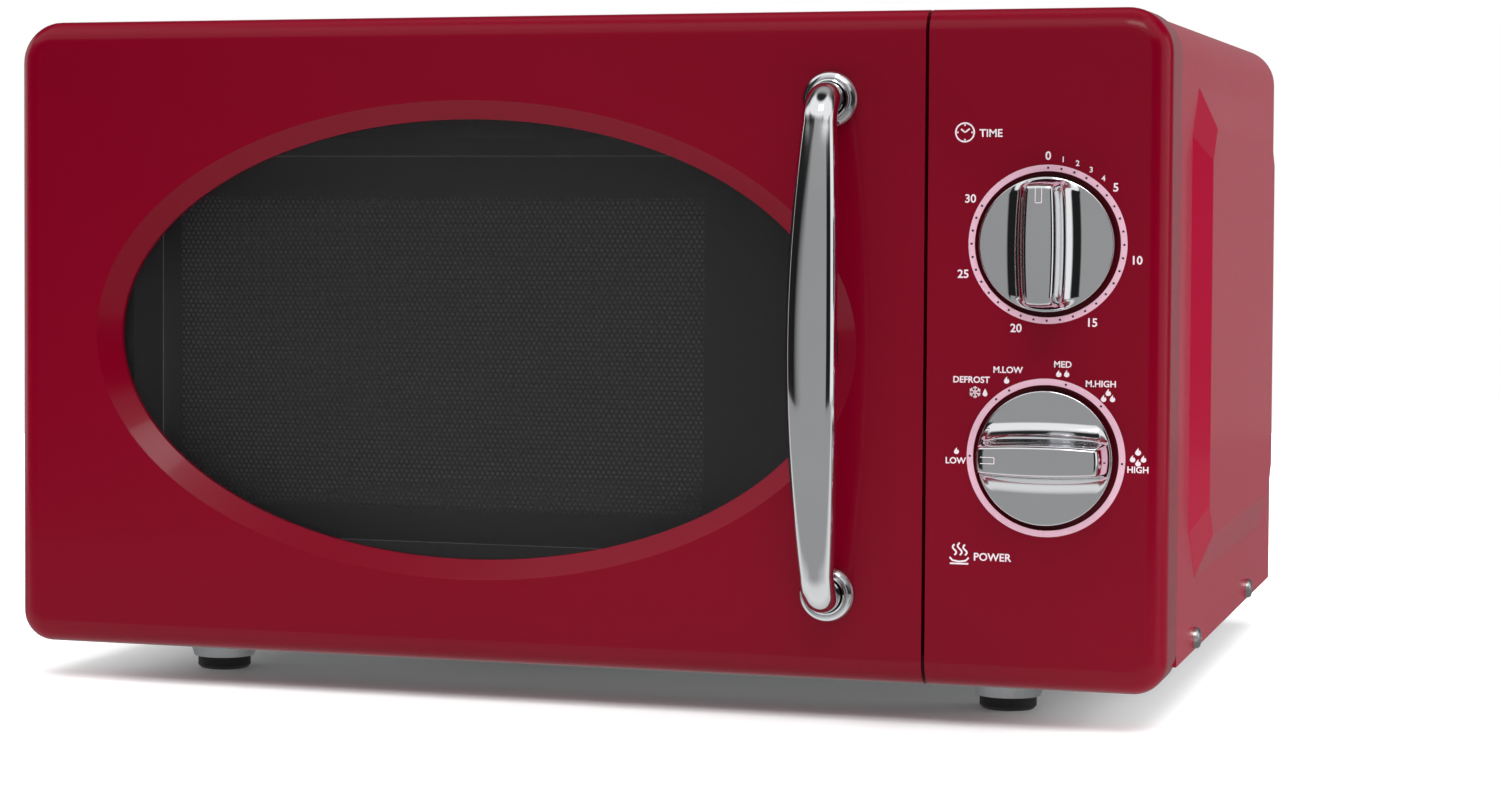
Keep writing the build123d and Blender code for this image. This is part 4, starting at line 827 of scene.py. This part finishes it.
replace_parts(place("handle_rings", stepped_roses(), chrome, "door"), "handle_roses")


# ---------------------------------------------------------------- knobs
# Chrome plated mouldings: a disc with a barrel-shaped grip bar across it, which flows into
# the disc at its sides and ends. One end of the grip points at the scale.

class Dial:
    """Where one knob sits, with its pointer end turned clockwise from the top."""

    bevel = 0.5 * mm
    crown = 0.06

    def __init__(self, node, pointer):
        low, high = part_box(node)
        self.node, self.turn = node, math.radians(pointer)
        self.middle = (low + high) / 2
        self.face = front_face - 3.0 * mm
        self.tall, self.depth = self.face - low.y, high.y - self.face
        self.rim = (high.x - low.x) / 2 - self.bevel

    def at(self, u, v, h):
        """A point u across the grip, v along it and h above the disc."""
        return (self.middle.x + u * math.cos(self.turn) + v * math.sin(self.turn), self.face - h,
                self.middle.z - u * math.sin(self.turn) + v * math.cos(self.turn))

    def crowned(self, v):
        """The share of the grip's height at v along it."""
        return 1 - self.crown * (v / self.rim) ** 2


timer_dial, power_dial = Dial("timer_knob", 0), Dial("power_knob", -90)


def grip_profile(half_top, tall, edge, foot, lean=math.radians(8)):
    """Half a section of the grip, as (across, height), from the middle of its top to the disc."""
    rise_to, wide = tall - edge, half_top - edge
    points = [(wide * k / 4, tall) for k in range(4)]
    for k in range(9):
        a = math.pi / 2 + (lean - math.pi / 2) * k / 8
        points.append((wide + edge * math.cos(a), rise_to + edge * math.sin(a)))
    from_u, from_h = points[-1]
    low_h = foot - foot * math.sin(lean)
    out_u = from_u + (from_h - low_h) * math.tan(lean)
    points += [(from_u + (out_u - from_u) * k / 5, from_h + (low_h - from_h) * k / 5)
               for k in range(1, 5)]
    centre = out_u + foot * math.cos(lean)
    for k in range(15):
        a = math.pi + lean + (math.pi / 2 - lean) * k / 14
        points.append((centre + foot * math.cos(a), foot + foot * math.sin(a)))
    return points


def knob_grid(bm, dial, half_top=4.4 * mm, edge=1.1 * mm, foot=8.5 * mm, end_run=3.3 * mm,
              bulge=1.0 * mm):
    """Columns of points over the disc and the grip, each from one edge of the disc to the other."""
    rim = dial.rim
    half = grip_profile(half_top, dial.tall, edge, foot)
    last = half[-1][0]
    half += [(last + (rim - last) * math.sin(math.pi / 2 * k / 14), 0.0) for k in range(1, 14)]
    ends = ((0.0, 0.0), (0.7, 0.32), (1.4, 0.64), (1.85, 0.85), (2.05, 0.91), (2.3, 0.955), (2.7, 0.985),
            (3.3, 1.0))
    grid = []
    for u, h in [(-u, h) for u, h in reversed(half[1:])] + half:
        limit = math.sqrt(rim * rim - u * u)
        inset = min(end_run, 0.35 * limit)
        stations = [(-limit + d * mm / end_run * inset, e) for d, e in ends]
        stations += [((limit - inset) * (k / 12 - 1), 1.0) for k in range(1, 24)]
        stations += [(limit - d * mm / end_run * inset, e) for d, e in reversed(ends)]
        column = []
        for v, e in stations:
            inside = max(0.0, 1 - (u * u + v * v) / (rim * rim))
            barrel = min(1.0, abs(u) / half_top) * min(1.0, max(0.0, (rim - abs(u)) / (rim - last)))
            swollen = u + math.copysign(bulge * barrel * inside, u)
            column.append(bm.verts.new(dial.at(swollen, v, h * e * dial.crowned(v))))
        grid.append(column)
    return grid


def dial_knob(name, dial):
    """A disc with a rounded edge and a barrel-shaped grip across it."""
    bm = bmesh.new()
    grid = knob_grid(bm, dial)
    for first, second in zip(grid, grid[1:]):
        for j in range(len(first) - 1):
            bm.faces.new((first[j], second[j], second[j + 1], first[j + 1]))
    left, right = (bm.verts.new(dial.at(s * dial.rim, 0.0, 0.0)) for s in (-1, 1))
    for pole, column in ((left, grid[0]), (right, grid[-1])):
        for a, b in zip(column, column[1:]):
            bm.faces.new((pole, a, b) if pole is left else (pole, b, a))
    loop = [left] + [c[-1] for c in grid] + [right] + [c[0] for c in reversed(grid)]
    hub = Vector((dial.middle.x, 0, dial.middle.z))
    skirt = loop
    for reach_out, down in ((0.65, 0.1), (0.9, 0.4), (1.0, 1.0), (1.0, dial.depth / dial.bevel)):
        ring, radius = [], dial.rim + dial.bevel * reach_out
        for vert in loop:
            spoke = (Vector((vert.co.x, 0, vert.co.z)) - hub).normalized() * radius
            ring.append(bm.verts.new((hub.x + spoke.x, dial.face + down * dial.bevel, hub.z + spoke.z)))
        bridge(bm, skirt, ring)
        skirt = ring
    bm.faces.new(skirt)
    bmesh.ops.recalc_face_normals(bm, faces=bm.faces)
    piece = place(name, from_bmesh(name, bm, 50), chrome, dial.node)
    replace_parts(piece, dial.node)


dial_knob("timer_grip", timer_dial)
dial_knob("power_grip", power_dial)


# ---------------------------------------------------------------- printing on the control panel
# The scales, words and small pictures are pad printed in pinkish white ink, with dark
# dots on the two rings. Each knob has a thin open frame printed on its grip as a pointer.

def ink(name, colour):
    print_ink = Finish(name, Specular_IOR_Level=0.4)
    wear = print_ink.noise(800.0, 2.0)
    print_ink.feed(Base_Color=print_ink.blend(wear, tuple(c * 0.9 for c in colour), colour),
                   Roughness=0.35 + wear * 0.15)
    return print_ink


pale_ink = ink("pale_ink", (0.78, 0.66, 0.72))
ring_ink = ink("ring_ink", (0.7, 0.42, 0.52))
dark_ink = ink("dark_ink", (0.02, 0.004, 0.008))
print_y = front_face - 0.05 * mm
dial_x, timer_z, power_z = timer_dial.middle.x, timer_dial.middle.z, power_dial.middle.z


def print_on(name, mesh, x, z):
    """Pale print drawn in the XY plane, set upright on the panel's front about x and z."""
    mesh.transform(Matrix.Translation((x, print_y, z)) @ upright)
    place(name, mesh, pale_ink, "oven_body")


def facing_up(bm):
    for face in bm.faces:
        face.normal_update()
        if face.normal.z < 0:
            face.normal_flip()


def printed_ring(name, z):
    inner, outer, thick = 25.75 * mm, 28.0 * mm, 0.05 * mm
    profile = [(inner, 0), (inner, thick), (outer, thick), (outer, 0), (inner, 0)]
    mesh = spun(name, profile, (dial_x, front_face, z), (0, -1, 0), around=128)
    place(name, mesh, ring_ink, "oven_body")


printed_ring("timer_ring", timer_z)
printed_ring("power_ring", power_z)


def pointer_mark(name, dial, clear=0.03 * mm):
    """A thin open frame near one end of the grip's top, which is slightly crowned."""
    half, start, end, line = 1.1 * mm, 14.6 * mm, 19.6 * mm, 0.11 * mm
    bm = bmesh.new()
    along = [start + (end - start) * k / 5 for k in range(6)]
    strips = [((s * half - line, s * half + line), along) for s in (-1, 1)]
    strips.append(((-half, half), [start - line, start + line]))
    for edges, stations in strips:
        pairs = [[bm.verts.new(dial.at(u, v, dial.tall * dial.crowned(v) + clear)) for u in edges]
                 for v in stations]
        for (a, b), (c, d) in zip(pairs, pairs[1:]):
            bm.faces.new((a, b, d, c))
    place(name, from_bmesh(name, bm), pale_ink, dial.node)


pointer_mark("timer_pointer", timer_dial)
pointer_mark("power_pointer", power_dial)


def round_dot(radius=0.42 * mm, around=14):
    bm = bmesh.new()
    bm.faces.new(ring_of(bm, radius, around))
    return from_bmesh("dot", bm)


def minute_dots(name, z, count, start, step, radius=26.9 * mm):
    """Dots step degrees apart clockwise round a dial, from start degrees past the top."""
    pattern = Pattern(name, Count=count, Start=float(start), Step=float(step), Radius=radius)
    degrees = pattern.size("Start") + pattern.node("GeometryNodeInputIndex") * pattern.size("Step")
    turn = degrees * (math.pi / 180)
    sine = pattern.node("ShaderNodeMath", {"operation": "SINE"}, {0: turn})
    cosine = pattern.node("ShaderNodeMath", {"operation": "COSINE"}, {0: turn})
    spot = pattern.node("ShaderNodeCombineXYZ", values={
        "X": sine * pattern.size("Radius"), "Y": cosine * pattern.size("Radius")})
    points = pattern.node("GeometryNodePoints",
                          values={"Count": pattern.size("Count"), "Position": spot})
    dots = pattern.node("GeometryNodeInstanceOnPoints", values={
        "Points": points, "Instance": pattern.template(round_dot())})
    mesh = pattern.grow(dots, dark_ink)
    mesh.transform(Matrix.Translation((dial_x, front_face - 0.08 * mm, z)) @ upright)
    place(name, mesh, None, "oven_body")


minute_dots("timer_dots", timer_z, 31, 0, 10)
for label, angle in (
        ("low", -90), ("defrost", -41), ("m_low", -29), ("med", 15), ("m_high", 46), ("high", 93)):
    minute_dots("power_dot_" + label, power_z, 1, angle, 0)


def words(name, text, x, z, height, weight=0.07 * mm):
    """A printed word centred at x and z, with capitals of that height, fattened by weight."""
    capital_share = 0.7
    curve = bpy.data.curves.new(name, "FONT")
    curve.body = text
    curve.size = height / capital_share
    curve.align_x, curve.align_y = "CENTER", "CENTER"
    curve.offset = weight
    curve.resolution_u = 3
    holder = staged(name, curve)
    mesh = bpy.data.meshes.new_from_object(holder.evaluated_get(bpy.context.evaluated_depsgraph_get()))
    bpy.data.objects.remove(holder)
    print_on(name, mesh, x, z)


def minute_figure(minutes, far, height, weight):
    """A figure of the time scale, which turns 10 degrees a minute."""
    a = math.radians(10 * minutes)
    words(f"minutes_{minutes}", str(minutes), dial_x + far * math.sin(a),
          timer_z + far * math.cos(a), height, weight)


for minutes in (0, 5, 10, 15, 20, 25, 30):
    minute_figure(minutes, 31.0 * mm if minutes < 10 else 31.7 * mm, 2.9 * mm, 0.08 * mm)
for minutes in (1, 2, 3, 4):
    minute_figure(minutes, 30.2 * mm, 1.9 * mm, 0.05 * mm)

for name, text, dx, dz, height in (
        ("word_low", "LOW", -32.0, -1.9, 2.2), ("word_defrost", "DEFROST", -26.6, 27.0, 2.2),
        ("word_m_low", "M.LOW", -13.6, 30.7, 2.2), ("word_med", "MED", 5.8, 33.0, 2.2),
        ("word_m_high", "M.HIGH", 19.2, 26.4, 2.2), ("word_high", "HIGH", 32.4, -3.4, 2.2),
        ("word_power", "POWER", -18.6, -36.0, 2.7)):
    words(name, text, dial_x + dx * mm, power_z + dz * mm, height * mm)
words("word_time", "TIME", dial_x - 20.3 * mm, timer_z + 39.0 * mm, 2.7 * mm)


def strokes(name, lines, x, z, width):
    """Line art in millimetres about (x, z), each line drawn as a flat ribbon."""
    bm = bmesh.new()
    for line in lines:
        points = [Vector((px * mm, py * mm)) for px, py in line]
        sides = []
        for i, point in enumerate(points):
            before, after = points[max(i - 1, 0)], points[min(i + 1, len(points) - 1)]
            if (points[0] - points[-1]).length < 1e-6 and i in (0, len(points) - 1):
                before, after = points[-2], points[1]
            along = (after - before).normalized()
            across = Vector((-along.y, along.x)) * width * mm / 2
            sides.append([bm.verts.new((*(point + across), 0)), bm.verts.new((*(point - across), 0))])
        for (a, b), (c, d) in zip(sides, sides[1:]):
            bm.faces.new((a, b, d, c))
    facing_up(bm)
    print_on(name, from_bmesh(name, bm), x, z)


def blots(name, outlines, x, z):
    """Filled outlines in millimetres about (x, z)."""
    bm = bmesh.new()
    for outline in outlines:
        bm.faces.new([bm.verts.new((px * mm, py * mm, 0)) for px, py in outline])
    facing_up(bm)
    bmesh.ops.triangulate(bm, faces=bm.faces)
    print_on(name, from_bmesh(name, bm), x, z)


def circle(radius, cx=0.0, cy=0.0, count=28):
    return [(cx + radius * math.cos(math.tau * k / count), cy + radius * math.sin(math.tau * k / count))
            for k in range(count + 1)]


def flame(cx, cy, size):
    """A small flame with one tongue, leaning to the right at its tip."""
    shape = ((0.0, -1.0), (0.55, -0.8), (0.78, -0.3), (0.6, 0.15), (0.35, 0.4), (0.3, 0.05),
             (0.1, 0.45), (0.16, 1.0), (-0.3, 0.5), (-0.62, 0.0), (-0.75, -0.4), (-0.5, -0.82))
    return [(cx + px * size, cy + py * size) for px, py in shape]


def drop(cx, cy, size):
    lower = [(cx + size * 0.62 * math.cos(t), cy - size * 0.35 + size * 0.62 * math.sin(t))
             for t in (math.pi * (1 + k / 10) for k in range(11))]
    return lower + [(cx + size * 0.45, cy + size * 0.15), (cx, cy + size),
                    (cx - size * 0.45, cy + size * 0.15)]


def steam(cx, cy, size):
    return [(cx + 0.35 * size * math.sin(t * math.tau), cy + size * (2 * t - 1))
            for t in (k / 12 for k in range(13))]


def star_point(radius, angle):
    return (radius * math.cos(angle), radius * math.sin(angle))


strokes("picture_clock", [circle(3.3), [(0, 0), (1.7, 1.3)], [(0, 0), (-1.4, 1.2)], [(0, 2.3), (0, 2.9)],
                          [(2.3, 0), (2.9, 0)], [(0, -2.3), (0, -2.9)], [(-2.3, 0), (-2.9, 0)]],
        dial_x - 29.6 * mm, timer_z + 39.4 * mm, 0.55)
strokes("picture_cup", [[(-3.4, -1.7), (-2.4, -2.8), (0, -3.2), (2.4, -2.8), (3.4, -1.7)],
                        [(-3.3, -3.9), (3.3, -3.9)],
                        steam(-1.7, 1.0, 1.9), steam(0.2, 1.3, 2.2), steam(2.1, 1.0, 1.9)],
        dial_x - 30.4 * mm, power_z - 34.6 * mm, 0.6)
arms = [math.radians(30 + 60 * k) for k in range(6)]
strokes("picture_snow", [[star_point(2.1, t), star_point(-2.1, t)] for t in arms[:3]]
        + [[star_point(1.9, t - 0.35), star_point(1.2, t), star_point(1.9, t + 0.35)] for t in arms],
        dial_x - 25.2 * mm, power_z + 22.7 * mm, 0.4)
for name, outlines, dx, dz in (
        ("picture_drop", [drop(0, 0, 1.4)], -21.6, 22.6),
        ("picture_low", [flame(0, 0, 1.2)], -31.7, 1.7),
        ("picture_m_low", [flame(0, 0, 1.3)], -14.0, 27.2),
        ("picture_med", [flame(-1.4, 0, 1.3), flame(1.4, 0, 1.3)], 5.8, 29.9),
        ("picture_m_high", [flame(-1.6, -0.9, 1.3), flame(1.5, -0.9, 1.3), flame(0, 1.2, 1.3)],
         21.8, 22.4),
        ("picture_high", [flame(-1.9, -0.6, 1.3), flame(1.9, -0.6, 1.3), flame(0, -2.0, 1.3),
                          flame(0, 1.9, 1.4)], 32.4, 1.2)):
    blots(name, outlines, dial_x + dx * mm, power_z + dz * mm)


# ---------------------------------------------------------------- pan head screws
# Plated pan head screws with a cross recess hold the cabinet, eight at the back and two
# on each side.

def screw_head(radius=4.0 * mm, height=2.4 * mm, around=28):
    """A domed head with a cross recess, standing on z = 0."""
    bm = bmesh.new()
    dome = ((1.0, 0.0), (1.0, 0.3), (0.96, 0.6), (0.82, 0.84), (0.6, 0.96), (0.45, 1.0))
    rings = [ring_of(bm, radius * r, around, height * z) for r, z in dome]
    arm, half = radius * 0.36, radius * 0.1
    cross = []
    for k in range(around):
        a = math.tau * k / around
        c, s = math.cos(a), math.sin(a)
        reach_out = min(arm, half / max(min(abs(c), abs(s)), 1e-6))
        reach_out = min(reach_out, arm / max(abs(c), abs(s)))
        cross.append((reach_out * c, reach_out * s))
    rings.append([bm.verts.new((x, y, height)) for x, y in cross])
    rings.append([bm.verts.new((x * 0.8, y * 0.8, height * 0.45)) for x, y in cross])
    for first, second in zip(rings, rings[1:]):
        bridge(bm, first, second)
    bm.faces.new(rings[-1])
    bm.faces.new(list(reversed(rings[0])))
    return from_bmesh("screw_head", bm, 35)


def cabinet_screw_heads():
    cabinet_low, cabinet_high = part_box("outer_cabinet")
    raised_panel = 5 * mm
    wall = (cabinet_high.x - cabinet_low.x) / 2 - raised_panel
    back = cabinet_high.y
    spots = [(s * wall, front_face + y, 0.0255, s, 0) for s in (-1, 1) for y in (0.083, 0.253)]
    spots += [(s * (wall - 6 * mm), back, z, 0, 1) for s in (-1, 1) for z in (0.06, 0.135, 0.216)]
    spots += [(s * wall * 0.55, back, 0.249, 0, 1) for s in (-1, 1)]
    heads = []
    for number, (x, y, z, across, behind) in enumerate(spots):
        head = screw_head()
        turn = Matrix.Rotation(math.radians(25 + 37 * number), 4, "Z")
        lean = Vector((0, 0, 1)).rotation_difference(Vector((across, behind, 0))).to_matrix().to_4x4()
        head.transform(Matrix.Translation((x, y, z)) @ lean @ turn)
        heads.append(head)
    mesh = joined("screw_heads", heads)
    mesh.shade_smooth()
    mesh.set_sharp_from_angle(angle=math.radians(35))
    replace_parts(place("screw_heads", mesh, bright_steel, "oven_body"), "cabinet_screws")


cabinet_screw_heads()
